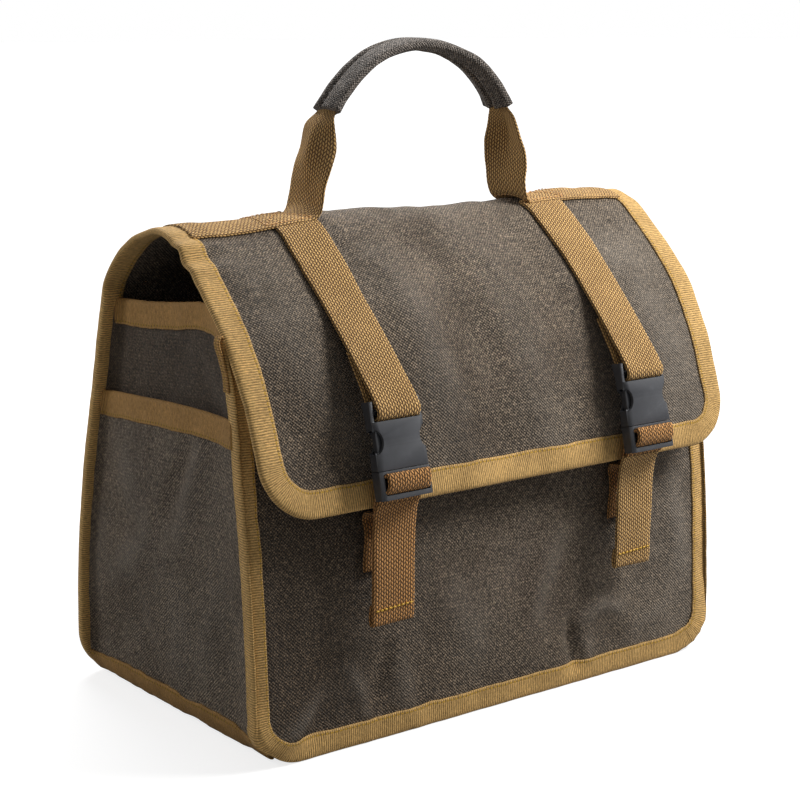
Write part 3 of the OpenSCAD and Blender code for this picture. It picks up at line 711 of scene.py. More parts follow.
def moulded_acetal(name, colour):
    """Black acetal, injection moulded in a spark-eroded mould.

    To the eye: near black, a fine matt grain on every face, a soft broad highlight and
    edges rubbed a little shinier."""
    material, add = new_finish(name)
    place = add("TexCoord").outputs["Object"]
    grain = add("TexNoise", {"Vector": place, "Scale": 2600.0, "Detail": 2.0})
    cloud = add("TexNoise", {"Vector": place, "Scale": 160.0, "Detail": 3.0})
    stops = tones(colour, (0.3, 0.8), (0.6, 1.0), (0.8, 1.25))
    surfaced(add, 0.25, 0.00008, grain, {
        "Base Color": add("ValToRGB", [cloud], stops=stops),
        "Roughness": add("MapRange", [cloud, 0.3, 0.7, 0.42, 0.3]), "IOR": 1.48,
    })
    return material


def fibre_board(name, colour):
    """Pressed fibreboard on the bag's floor: brown, matt, with flecks of pulp."""
    material, add = new_finish(name)
    place = add("TexCoord").outputs["Object"]
    fleck = add("TexNoise", {"Vector": place, "Scale": 420.0, "Detail": 4.0})
    stops = tones(colour, (0.35, 0.6), (0.55, 1.0), (0.75, 1.35))
    pulp = add("ValToRGB", [fleck], stops=stops)
    surfaced(add, 0.4, 0.0002, fleck, {"Base Color": pulp, "Roughness": 0.85})
    return material


# What a user may change


def colour_setting(name, code, what):
    return FloatVectorProperty(
        name=name, description=f"Colour of {what}", subtype="COLOR", size=3, min=0, max=1,
        default=tint(code),
    )


def length_setting(name, default, low, high, what):
    return FloatProperty(
        name=name, description=what, default=default, min=low, max=high, precision=5,
        unit="LENGTH",
    )


def power_setting(name, default, what):
    return FloatProperty(
        name=name, description=what, default=default, min=0, max=200, unit="POWER"
    )


class ClothSettings(bpy.types.PropertyGroup):
    canvas: colour_setting("Canvas", "#706354", "the waxed canvas")
    sleeve: colour_setting("Grip canvas", "#716962", "the canvas round the grip")
    pitch: length_setting(
        "Weave pitch", 0.0023, 0.0008, 0.006, "Length of one repeat of the drawn weave"
    )
    thickness: length_setting(
        "Canvas thickness", 0.0022, 0.0008, 0.003, "Thickness of one layer of canvas"
    )


class TapeSettings(bpy.types.PropertyGroup):
    colour: colour_setting("Tape", "#caa366", "the binding tape")
    thread: colour_setting("Tape thread", "#c2983f", "the thread that sews the tape")
    width: length_setting(
        "Tape width", 0.016, 0.008, 0.024, "Width of the folded tape on the outer face"
    )
    thickness: length_setting(
        "Tape thickness", 0.0011, 0.0005, 0.002, "Thickness of one layer of tape"
    )


class WebbingSettings(bpy.types.PropertyGroup):
    colour: colour_setting("Webbing", "#c69861", "the straps")
    thread: colour_setting("Strap thread", "#e6b63a", "the thread that shows on the straps")
    width: length_setting(
        "Handle webbing width", 0.038, 0.025, 0.04, "Width of the handle's and ridge's webbing"
    )
    strap: length_setting(
        "Strap width", 0.032, 0.025, 0.04, "Width of the front straps, anchor straps and tails"
    )
    thickness: length_setting(
        "Webbing thickness", 0.002, 0.001, 0.003, "Thickness of the straps"
    )


class PlasticSettings(bpy.types.PropertyGroup):
    colour: colour_setting("Plastic", "#434448", "the moulded buckles")
    softness: length_setting(
        "Edge rounding", 0.0009, 0.0001, 0.0015, "Radius of the moulded edges"
    )


class StageSettings(bpy.types.PropertyGroup):
    key: power_setting("Key light", 11.4, "Power of the light above the right of the front")
    top: power_setting("Top light", 17.0, "Power of the large light above the back")
    side: power_setting("Side light", 4.3, "Power of the small light behind the left side")
    sky: FloatProperty(
        name="Sky", description="Strength of the plain light from all round",
        default=0.15, min=0, max=2,
    )


FINISHES = {}


def finish(name):
    """The finish of that name. The first call makes them all."""
    if not FINISHES:
        scene = bpy.context.scene
        cloth, tape = scene.bag_cloth, scene.bag_tape
        strap, plastic = scene.bag_webbing, scene.bag_plastic
        # Factors of painted shade: for the tapes on the sides and the base, and for the shaded
        # webbing
        soil, webbing_shade = (0.7, 0.62, 0.52), (0.78, 0.7, 0.63)
        FINISHES.update(
            canvas=waxed_canvas("waxed_cotton_canvas", cloth.canvas, cloth.pitch),
            grip=waxed_canvas("brushed_cotton_canvas", cloth.sleeve, cloth.pitch),
            tape=edge_tape("ribbed_cotton_tape", tape.colour, tape.thread),
            # A copy of the tape with painted shade, darker and browner, with its thread darker
            soiled_tape=edge_tape(
                "ribbed_cotton_tape_painted_shade", shade(tape.colour, soil), shade(tape.thread, 0.7)
            ),
            webbing=woven_strap("cotton_webbing", strap.colour),
            # A copy of the webbing with painted shade, darker and browner
            handled_webbing=woven_strap(
                "cotton_webbing_painted_shade", shade(strap.colour, webbing_shade)
            ),
            thread=sewing_thread("golden_polyester_thread", strap.thread),
            tan_thread=sewing_thread("tan_polyester_thread", shade(strap.colour, 1.35)),
            dark_thread=sewing_thread("dark_polyester_thread", tint("#2a211a")),
            plastic=moulded_acetal("black_moulded_acetal", plastic.colour),
            board=fibre_board("pressed_fibreboard", tint("#6b5236")),
        )
    return FINISHES[name]


def dressed(piece, body, slot, *nodes):
    """Gives a piece its body and hides the CAD nodes that it stands for; slot is not used."""
    if isinstance(body, str):
        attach(piece, body)
    else:
        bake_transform(piece)
    if nodes:
        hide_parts(*nodes)
    return piece


def cloth_mm():
    return bpy.context.scene.bag_cloth.thickness * 1000


def tape_mm():
    tape = bpy.context.scene.bag_tape
    return tape.width * 1000, tape.thickness * 1000


def webbing_mm():
    webbing = bpy.context.scene.bag_webbing
    return webbing.width * 1000, webbing.strap * 1000, webbing.thickness * 1000


HINGE_SPAN = ("shell", "lid", (0, 0.0855, 0.2727), (0, 0.0705, 0.2727))

# The panels of the body


def gusset_spot(side, run, y, out, pocket=False):
    """A place on the side panels' and the base's outer face, in metres.

    run is the length down the side from the round corner's top, and on to the floor."""
    middle = SIDE - CORNER
    if run < 0:
        x, z = SIDE + out + side_out(y, CORNER - run, pocket), CORNER - run
    elif run < CORNER * math.pi / 2:
        turn = run / CORNER
        reach = CORNER + out + side_out(y, CORNER, pocket) * (1 - ease(0, 0.8, turn))
        x, z = middle + math.cos(turn) * reach, CORNER - math.sin(turn) * reach
    else:
        x, z = middle - (run - CORNER * math.pi / 2), -out
    return Vector((side * x, y + SHIFT, z)) / 1000


def between_panels(z, share, inset):
    """Y at a share of the way from the front panel's tape to the back panel, at a height."""
    front, back = depth_at(z)
    front += 5.0
    return front + inset + (back - front - 2 * inset) * share


def rim_height(share):
    """Height of a side panel's top edge at a share of the way to the back."""
    y = RIM_FRONT + (RIM_BACK - RIM_FRONT) * share
    return rim_line.at(rim_line.when(0, y))[0].y - 4.0


class BAG_OT_body(bpy.types.Operator):
    """Makes the base, the two sides and the front panel as sagging cloth"""

    bl_idname = "bag.body"
    bl_label = "Body panels"

    def execute(self, context):
        thick = cloth_mm()
        corner = CORNER * math.pi / 2
        wall, floor = 252.0, SIDE - CORNER
        total = 2 * (wall + corner + floor)

        def place(a, b):
            run = b * total
            side = -1 if run < total / 2 else 1
            run = min(run, total - run)
            if run < wall:
                share = run / wall
                top = rim_height(a)
                z = top + (CORNER - top) * share
                tucked = 2.6 + 2.0 * ease(248, 264, z)
                return gusset_spot(side, CORNER - z, between_panels(z, a, tucked), 0)
            run -= wall
            z = CORNER - math.sin(min(run / CORNER, math.pi / 2)) * CORNER
            spot = gusset_spot(side, run, between_panels(z, a, 1.8), 0)
            return spot + Vector((0, 0, 0.0006))

        piece = sheet_piece(
            "sides_and_base_cloth", finish("canvas"), 84, 330, place,
            lambda a, b: (a * 0.22, b * total / 1000), thick, (0, 0, -1),
        )
        # Painted shade over all of the sides and the base
        wear_and_painted_light(piece, [], lambda x, s: 0.72)
        dressed(piece, "shell", "canvas", "side_panel_left", "side_panel_right", "base_panel")

        def front(a, b):
            s = TAPE_IN + (FRONT_END - TAPE_IN) * b
            return (a - 0.5) * 2 * narrowed(HALF - CLOTH_IN, LOW_ROUND, s - TAPE_IN), s

        piece = sheet_piece(
            "front_panel_cloth", finish("canvas"), 150, 110,
            lambda a, b: front_spot(*front(a, b)),
            lambda a, b: tuple(v / 1000 for v in front(a, b)), thick, (0, -1, 0),
        )
        # Painted shade, darker towards the left and towards the bottom; a painted highlight towards
        # the right
        wear_and_painted_light(
            piece, FRONT_CREASES,
            lambda x, s: 0.04 + 0.48 * ease(60, -185, x) + 0.1 * ease(80, 0, s) * ease(150, 60, x),
            lambda x, s: 0.26 * ease(90, 175, x),
        )
        dressed(piece, "shell", "canvas", "front_panel")
        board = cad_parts["base_board"]
        for slot in board.material_slots:
            slot.material = finish("board")
        return {"FINISHED"}


def wear_and_painted_light(piece, creases, painted_shade_and_soak, painted_highlight=lambda x, s: 0):
    """Writes how worn a cloth is at each point, with a painted highlight added, and how dark it is
    made: painted shade plus random patches of deeper wax.
    """
    mesh = piece.data
    layer = mesh.uv_layers["cloth"].data
    values = [0.0] * len(mesh.vertices)
    shade_and_soak_levels = [0.0] * len(mesh.vertices)
    for loop in mesh.loops:
        u, v = layer[loop.index].uv
        x, y = u * 1000, v * 1000
        ridge = max(0.0, creased(x, y, creases)) * 0.16
        # Random worn patches, plus the painted highlight where the light falls brightest
        patch = max(0.0, waves(x, y, 34, 21.5)) * 0.18 + painted_highlight(x, y)
        values[loop.vertex_index] = min(ridge + patch, 0.6)
        # Painted shade from the given function, plus random patches of deeper wax
        patch = max(0.0, waves(x, y, 70, 33.1)) * 0.35
        shade_and_soak_levels[loop.vertex_index] = min(painted_shade_and_soak(x, y) + patch, 0.9)
    mesh.attributes.new("wear_and_painted_light", "FLOAT", "POINT").data.foreach_set("value", values)
    mesh.attributes.new("painted_shade_and_soak", "FLOAT", "POINT").data.foreach_set("value", shade_and_soak_levels)


class BAG_OT_hood(bpy.types.Operator):
    """Makes the back panel, the hood and the flap as one cloth that bends at the back"""

    bl_idname = "bag.hood"
    bl_label = "Back, hood and flap"

    def execute(self, context):
        low, high = TAPE_IN, FLAP_END - 0.6

        def flat(a, b):
            s = low + (high - low) * b
            wider = (FLAP_HALF - HALF + 0.4) * ease(HINGE_S, HINGE_S + 60, s)
            half = HALF - CLOTH_IN + wider
            if s < HINGE_S:
                half = narrowed(half, LOW_ROUND, s - low)
            else:
                half = narrowed(half, FLAP_ROUND, high - s)
            return (a - 0.5) * 2 * half, s

        piece = sheet_piece(
            "back_hood_and_flap_cloth", finish("canvas"), 150, 250,
            lambda a, b: hood_spot(*flat(a, b)),
            lambda a, b: tuple(v / 1000 for v in flat(a, b)), cloth_mm(), (0, 1, 0),
        )
        # Painted shade on the flap, darker towards the left; a painted highlight on the flap's
        # right, below the ridge
        wear_and_painted_light(
            piece, HOOD_CREASES,
            lambda x, s: (0.1 + 0.26 * ease(10, -170, x)) * ease(RIDGE_S + 60, FLAP_END - 60, s),
            lambda x, s: 0.34 * ease(60, 170, x) * ease(RIDGE_S + 10, RIDGE_S + 80, s),
        )
        dressed(piece, HINGE_SPAN, "canvas", "back_panel", "flap")
        return {"FINISHED"}


def mouth_height(y):
    """Height of a pocket's mouth: it rises to the front and bows up a little in the middle."""
    share = (y - MOUTH_FRONT) / MOUTH_DEPTH
    return 211.0 - 7.5 * share + 2.4 * math.sin(math.pi * min(max(share, 0), 1))


class BAG_OT_pockets(bpy.types.Operator):
    """Makes the pocket on each side, with its belly and its creases"""

    bl_idname = "bag.pockets"
    bl_label = "Side pockets"

    def execute(self, context):
        for side, name in SIDES:
            def place(a, b):
                top = mouth_height(between_panels(212, a, 1.2))
                z = POCKET_FOOT + (top - POCKET_FOOT) * b
                return gusset_spot(side, CORNER - z, between_panels(z, a, 1.2), 0.2, True)

            def flat(a, b):
                z = POCKET_FOOT + (mouth_height(0) - POCKET_FOOT) * b
                return (a - 0.5) * 0.2, z / 1000

            piece = sheet_piece(
                f"side_pocket_{name}", finish("canvas"), 80, 84, place, flat, POCKET_CLOTH,
                (side, 0, 0),
            )
            # A little painted shade over each pocket
            wear_and_painted_light(piece, SIDE_CREASES, lambda x, s: 0.05)
            dressed(piece, "shell", "canvas", f"pocket_{name}")
        return {"FINISHED"}


# Tapes


def taped(name, nodes, profile, rows, place, length, cloth="tape", body="shell", closed=False):
    """A tape swept from a section and its rims, on a body, in place of CAD nodes."""
    section, rims = profile
    piece = swept(name, finish(cloth), section, rows, place, length, closed, rims)
    dressed(piece, body, "binding", *nodes)


class BAG_OT_tapes(bpy.types.Operator):
    """Makes the folded tape round every edge of the cloth"""

    bl_idname = "bag.tapes"
    bl_label = "Edge tapes"

    def execute(self, context):
        width, thick = tape_mm()
        cloth = cloth_mm()
        seam = 2.1 * cloth
        length, walk = open_edge(HALF - TAPE_IN, LOW_ROUND + 1, TAPE_IN, FRONT_END - 0.5)

        def front(across, out, t):
            run = t * length
            edge, inward = walk(run)
            if across > 2:
                across += puckered(run, 3.1, 0.7)
                if out > -1:
                    across *= 1 - 0.4 * max(inward.x, 0) + 0.12 * max(-inward.x, 0)
            # On the right, the fold stands out past the side panel, and its leg with it
            wide = 2.6 * ease(0.2, 1, -inward.x)
            lifted = wide * ease(width - 2, 3, across)
            across -= wide * ease(-4, -1, out)
            corner = 1 - abs(abs(inward.x) - abs(inward.y))
            bent = 0.25 * waves(run, 0, 14, 9.9) + 1.1 * corner * math.sin(run / 2.4) ** 2
            spot = edge + inward * across
            lying = front_spot(spot.x, spot.y, out + bent)
            # Behind the fold, the side's leg lies on the side panel
            turned = ease(0.3, 0.97, abs(inward.x)) * ease(-1, -4, out)
            if turned:
                y = depth_at(edge.y)[0] + 0.85 * across + 1.6
                onto = gusset_spot(
                    math.copysign(1, edge.x), CORNER - edge.y, y,
                    1.9 - seam - out + bent + lifted,
                )
                lying = lying.lerp(onto, turned)
            return lying

        profile = tape_section(width - 2, width - 3, seam, thick)
        taped(
            "front_panel_tape", ["front_binding"], profile, round(length / TAPE_STEP), front,
            length,
        )

        length, walk = closed_edge(
            HALF - TAPE_IN, TAPE_IN, LOW_ROUND, FLAP_HALF - 1.2, FLAP_END + 0.1, FLAP_ROUND
        )

        def around(across, out, t):
            run = t * length
            edge, inward = walk(run % length)
            # Below the fold the tape also holds the side panel's edge
            doubled = ease(HINGE_S + 6, HINGE_S - 10, edge.y)
            if across > 2:
                across += puckered(run, 7.7, 0.7) * hill(t - 0.5, 0, 0.5)
            if out < -1:
                out -= 1.1 * cloth * doubled
                across = across - 3.5 * doubled * ease(0, 10, across)
            bent = 0.3 * waves(run, 0, 13, 12.9) * hill(t - 0.5, 0, 0.5)
            spot = edge + inward * across
            return hood_spot(spot.x, spot.y, out + bent)

        profile = tape_section(width, width - 1, cloth, thick)
        taped(
            "back_hood_and_flap_tape", ["back_binding", "flap_binding"], profile,
            round(length / TAPE_STEP), around, length, body=HINGE_SPAN, closed=True,
        )
        length = 356
        taped(
            "front_panel_rim_tape", ["front_rim"], profile, 120,
            lambda across, out, t: front_spot(
                (t - 0.5) * length, FRONT_END + 0.8 - across, out
            ),
            length,
        )
        for side, name in SIDES:
            self.side_tapes(side, name, width, thick, profile)
        return {"FINISHED"}

    def side_tapes(self, side, name, width, thick, profile):
        """The base seam's tape, the rims of the side and its pocket, and the folded end."""
        base, top_edge, opening = 216, 150, 176

        # All the tapes on the side and the base take the tape with painted shade
        def seam(across, out, t):
            lumps = puckered(t * base, side * 5.3, 1.0)
            run = 3.0 + 0.86 * across + (2.2 * lumps if across < 4 else 0)
            share = 0.012 + 0.976 * t
            z = CORNER - (run if run < 0 else CORNER * math.sin(min(run / CORNER, 1.5)))
            y = between_panels(max(z, 1), share, 2.0)
            spot = gusset_spot(side, run, y, out * (1.15 - 0.4 * lumps) + 1.3, False)
            return Vector((spot.x, spot.y, max(spot.z, 0.0003)))

        # Thickest where the seam's layers lie over each other
        section = [
            (0, 0.0), (0, thick), (0.8, thick * 1.2), (4, thick * 1.25), (8, thick * 1.35),
            (11, thick * 1.6), (14, thick * 1.9), (17, thick * 2.0), (19, thick * 1.7),
            (20.5, thick * 1.2), (21, 0.0), (16, -0.2), (8, -0.2),
        ]
        rims = [0, 0.8, 1.6, 4.8, 8.8, 10, 7, 4, 2, 1, 0, 0, 0]
        taped(
            f"base_seam_tape_{name}", [f"base_binding_{name}"], (section, rims), 90, seam, base,
            "soiled_tape",
        )

        def rim(across, out, t):
            y = -81.0 + 141.0 * t
            top = rim_height(t) + 1.2 + puckered(t * top_edge, side * 2.2, 0.5)
            low = across + (puckered(t * top_edge, side * 8.2, 0.8) if across > 2 else 0)
            return gusset_spot(side, CORNER - (top - low), y, out, False)

        taped(
            f"side_rim_tape_{name}", [f"side_rim_{name}"], profile, 60, rim, top_edge,
            "soiled_tape",
        )

        def mouth(across, out, t):
            y = between_panels(208, 0.008 + 0.984 * t, 1.6)
            top = mouth_height(y) + 1.2
            low = across + (puckered(t * opening, side * 11.2, 0.8) if across > 2 else 0)
            return gusset_spot(side, CORNER - (top - low), y, out + 0.2, True)

        taped(
            f"pocket_rim_tape_{name}", [f"pocket_rim_{name}"],
            tape_section(width, width - 1, POCKET_CLOTH, thick), 72, mouth, opening,
            "soiled_tape",
        )
        # The tape's end stands off the corner and folds back down: X and Z
        loop = Line([
            (192.4, 229), (192.8, 243), (193.6, 257), (195.0, 263.5), (196.6, 262), (196.4, 250),
            (195.4, 240), (195.8, 231),
        ])

        def tab(across, out, t):
            spot, way = loop.at(t * loop.length)
            y = -86 + across + 1.4 * math.sin(t * 5) + (spot.y - 229) * 0.18
            z = spot.y + way.x * out
            x = spot.x - way.y * out + 1.1 * (1 + side)
            return Vector((side * x, y + SHIFT, z)) / 1000

        taped(
            f"folded_tape_end_{name}", [f"corner_tab_{name}"], (strap_section(6, thick, 6), None),
            48, tab, loop.length, "soiled_tape",
        )


# Straps


def at_buckle(depth, drop):
    """A place in the side view from one in the buckle's own frame, in mm."""
    return Vector((
        BUCKLE_Y - depth * math.cos(LEAN) - drop * math.sin(LEAN),
        BUCKLE_Z + depth * math.sin(LEAN) - drop * math.cos(LEAN),
    ))


def round_bar(depth, drop, radius, start, end):
    """Places round a buckle's bar. 0 degrees is in front of it and 90 below it."""
    steps = max(3, round(abs(end - start) / 18))
    turns = [math.radians(start + (end - start) * i / steps) for i in range(steps + 1)]
    return [at_buckle(depth + radius * math.cos(t), drop + radius * math.sin(t)) for t in turns]


def rippled(across, run, width):
    """A place across a strap, whose edges ripple in and out with the weft."""
    if abs(across) > width / 2 - 0.5:
        across += math.copysign(0.25 * math.sin(run * 2 * math.pi / 3.6), across)
    return across


def strap_along(name, line, x, lift, body, nodes, aside, cloth="webbing"):
    """A strap that follows a line of the side view, with its width along X.

    lift(across, run) raises it, aside(place in the side view, run) shifts it along X, and
    cloth is its finish."""
    _, width, thick = webbing_mm()

    def place(across, out, t):
        run = t * line.length
        spot, way = line.at(run)
        across = rippled(across, run, width)
        out += lift(across, run)
        across += x + aside(spot, run)
        return Vector((across, spot.x + SHIFT + way.y * out, spot.y - way.x * out)) / 1000

    piece = swept(
        name, finish(cloth), strap_section(width, thick), round(line.length / 1.2), place,
        line.length,
    )
    return dressed(piece, body, "webbing", *nodes)


class BAG_OT_front_straps(bpy.types.Operator):
    """Makes the two straps that run down the flap and loop round the sockets' bars"""

    bl_idname = "bag.front_straps"
    bl_label = "Front straps"

    def execute(self, context):
        leave = back_hood.when(0, -72)
        start = RIDGE_S + 13
        for side, name in SIDES:
            x = side * STRAP_X
            # Down the hood, straight to the socket, round its bar and back up beneath
            places = []
            for i in range(9):
                s = start + (leave - start) * i / 8
                spot = hood_spot(x, s, 1.5) * 1000
                places.append(Vector((spot.y - SHIFT, spot.z)))
            aim = at_buckle(9.6, -10)
            for share, bow in ((0.35, 1.2), (0.7, 1.4)):
                places.append(places[8].lerp(aim, share) + Vector((-0.7, 0.7)) * bow)
            places += round_bar(5.6, -5.5, 5.2, -30, 60) + round_bar(5.0, -5.7, 4.6, 90, 200)
            places += [at_buckle(-0.9, -18), at_buckle(-5.6, -30), at_buckle(-11, -44)]
            line = Line(places)
            lying = line.when(0, -66)

            def lift(across, run):
                here = back_hood.when(0, max(line.at(run)[0].x, -80))
                share = ease(lying + 18, lying - 10, run)
                return (hood_out(x + across, here) - hood_out(x, here)) * share if share else 0

            turn = line.when(1, 219)
            strap_along(
                f"front_strap_{name}_webbing", line, x, lift, "lid", [f"front_strap_{name}"],
                lambda spot, run: hill(run, turn + 3, 30),
            )
        return {"FINISHED"}


class BAG_OT_clip_straps(bpy.types.Operator):
    """Makes the straps sewn to the front panel, their turn round the clips, and the tails"""

    bl_idname = "bag.clip_straps"
    bl_label = "Anchor straps and tails"

    def execute(self, context):
        for side, name in SIDES:
            x = side * STRAP_X
            # Up the front panel, off it at a knee, into the clip and round its bar
            places = []
            for z in (112, 120, 130, 139, 145):
                spot = front_spot(x, front_line.when(1, z), 1.3) * 1000
                places.append(Vector((spot.y - SHIFT, spot.z)))
            places += [Vector(spot) for spot in (
                (-112.0, 149.4), (-120.0, 151.4), (-126.6, 152.8), (-130.2, 155.4),
            )]
            places += [at_buckle(*spot) for spot in (
                (-3.4, 50), (-0.6, 44), (1.6, 38), (3.4, 34.9), (6.4, 33.8), (9.8, 33.4),
                (12.6, 32.2), (14.2, 32.6), (14.7, 35.4), (14.2, 38.8), (12.6, 41.6), (9.4, 43.2),
                (5.6, 43.6), (2.4, 45.6), (0.6, 49.4),
            )]
            line = Line(places)
            span = ("shell", f"clip_{name}", (x / 1000, -0.11, 0.146), (x / 1000, -0.11, 0.158))
            # The anchor straps take the webbing with painted shade
            strap_along(
                f"anchor_strap_{name}_webbing", line, x, lambda across, run: 0, span,
                [f"anchor_strap_{name}", f"clip_webbing_{name}"],
                lambda spot, run: 9.0 * ease(158, 146, spot.y) - 3.6 * ease(140, 116, spot.y) - 0.9,
                "handled_webbing",
            )

            back, off, low = (9.0, -0.2, 82.0) if side < 0 else (9.6, -2.0, 81.6)
            fold, hem = 2.4, 10.4
            # The tail falls back to the panel, turns up at its end and is sewn to itself
            places = [places[-1]] + [Vector((TAIL_Y + a * back, z)) for a, z in (
                (0.52, 157.2), (0.72, 152.8), (0.9, 147.4), (1.0, 140.5), (1.04, 128), (1.07, 112),
                (1.1, 96), (1.13, low + fold),
            )]
            places += [places[-1] + Vector(step) for step in (
                (0.3, -1.9), (1.8, -2.0), (2.6, 0.2), (1.7, hem),
            )]
            line = Line(places)
            span = (
                f"clip_{name}", f"tail_{name[0]}", (x / 1000, -0.1226, 0.165),
                (x / 1000, -0.1226, 0.1575),
            )
            # The left tail takes the webbing with painted shade, the right tail the plain webbing
            strap_along(
                f"tail_{name}_webbing", line, x,
                lambda across, run: 0.5 * waves(across, run, 19, side * 4.4), span,
                [f"tail_{name}"], lambda spot, run: off - 1.2 * ease(146, 157, spot.y),
                "handled_webbing" if side < 0 else "webbing",
            )
            face = line.at(line.when(1, low + hem))[0].x + SHIFT - 1.5
            row = [Vector((x + off + a, face, low + hem + 0.05 * a)) for a in (-14.6, 14.6)]
            piece = stitches(f"tail_{name}_stitching", finish("thread"), [row], 3.2, 2.8, 0.72)
            dressed(piece, f"tail_{name[0]}", "thread", f"tail_stitch_{name}")
        return {"FINISHED"}


def stitches(name, finish, rows, pitch, length, radius, lay=None):
    """Rows of stitches, each a small rounded grain of thread. Rows are in millimetres."""
    bm = bmesh.new()
    for row in rows:
        for a, b in zip(row, row[1:]):
            count = max(1, round((b - a).length / pitch))
            for i in range(count):
                middle = a.lerp(b, (i + 0.5) / count)
                ahead = a.lerp(b, (i + 0.6) / count)
                if lay:
                    middle, ahead = lay(middle), lay(ahead)
                turn = (ahead - middle).to_track_quat("Z", "Y").to_matrix().to_4x4()
                made = bmesh.ops.create_icosphere(bm, subdivisions=1, radius=1)
                for vert in made["verts"]:
                    grain = Vector((radius, radius, length / 2)) * vert.co
                    vert.co = (turn @ grain + middle) / 1000
    return mesh_piece(name, bm, finish)


# The handle and the webbing on the ridge

# The ridge's height, the round and half the angle of the grip, and the handle's lean
RIDGE_Z = 325.0
GRIP_RADIUS, GRIP_CENTRE = 94.73, 341.27
GRIP_TURN = math.radians(57.6)
LEAN_ON = math.tan(math.radians(5))


def leaned(x, y, z):
    """A place on the handle, in metres. It leans to the front, and its left shoulder inwards."""
    x += 6.0 * ease(350, 394, z) * ease(-20, -78, x)
    return Vector((x, HANDLE_Y + y - (z - HANDLE_Z) * LEAN_ON, z)) / 1000


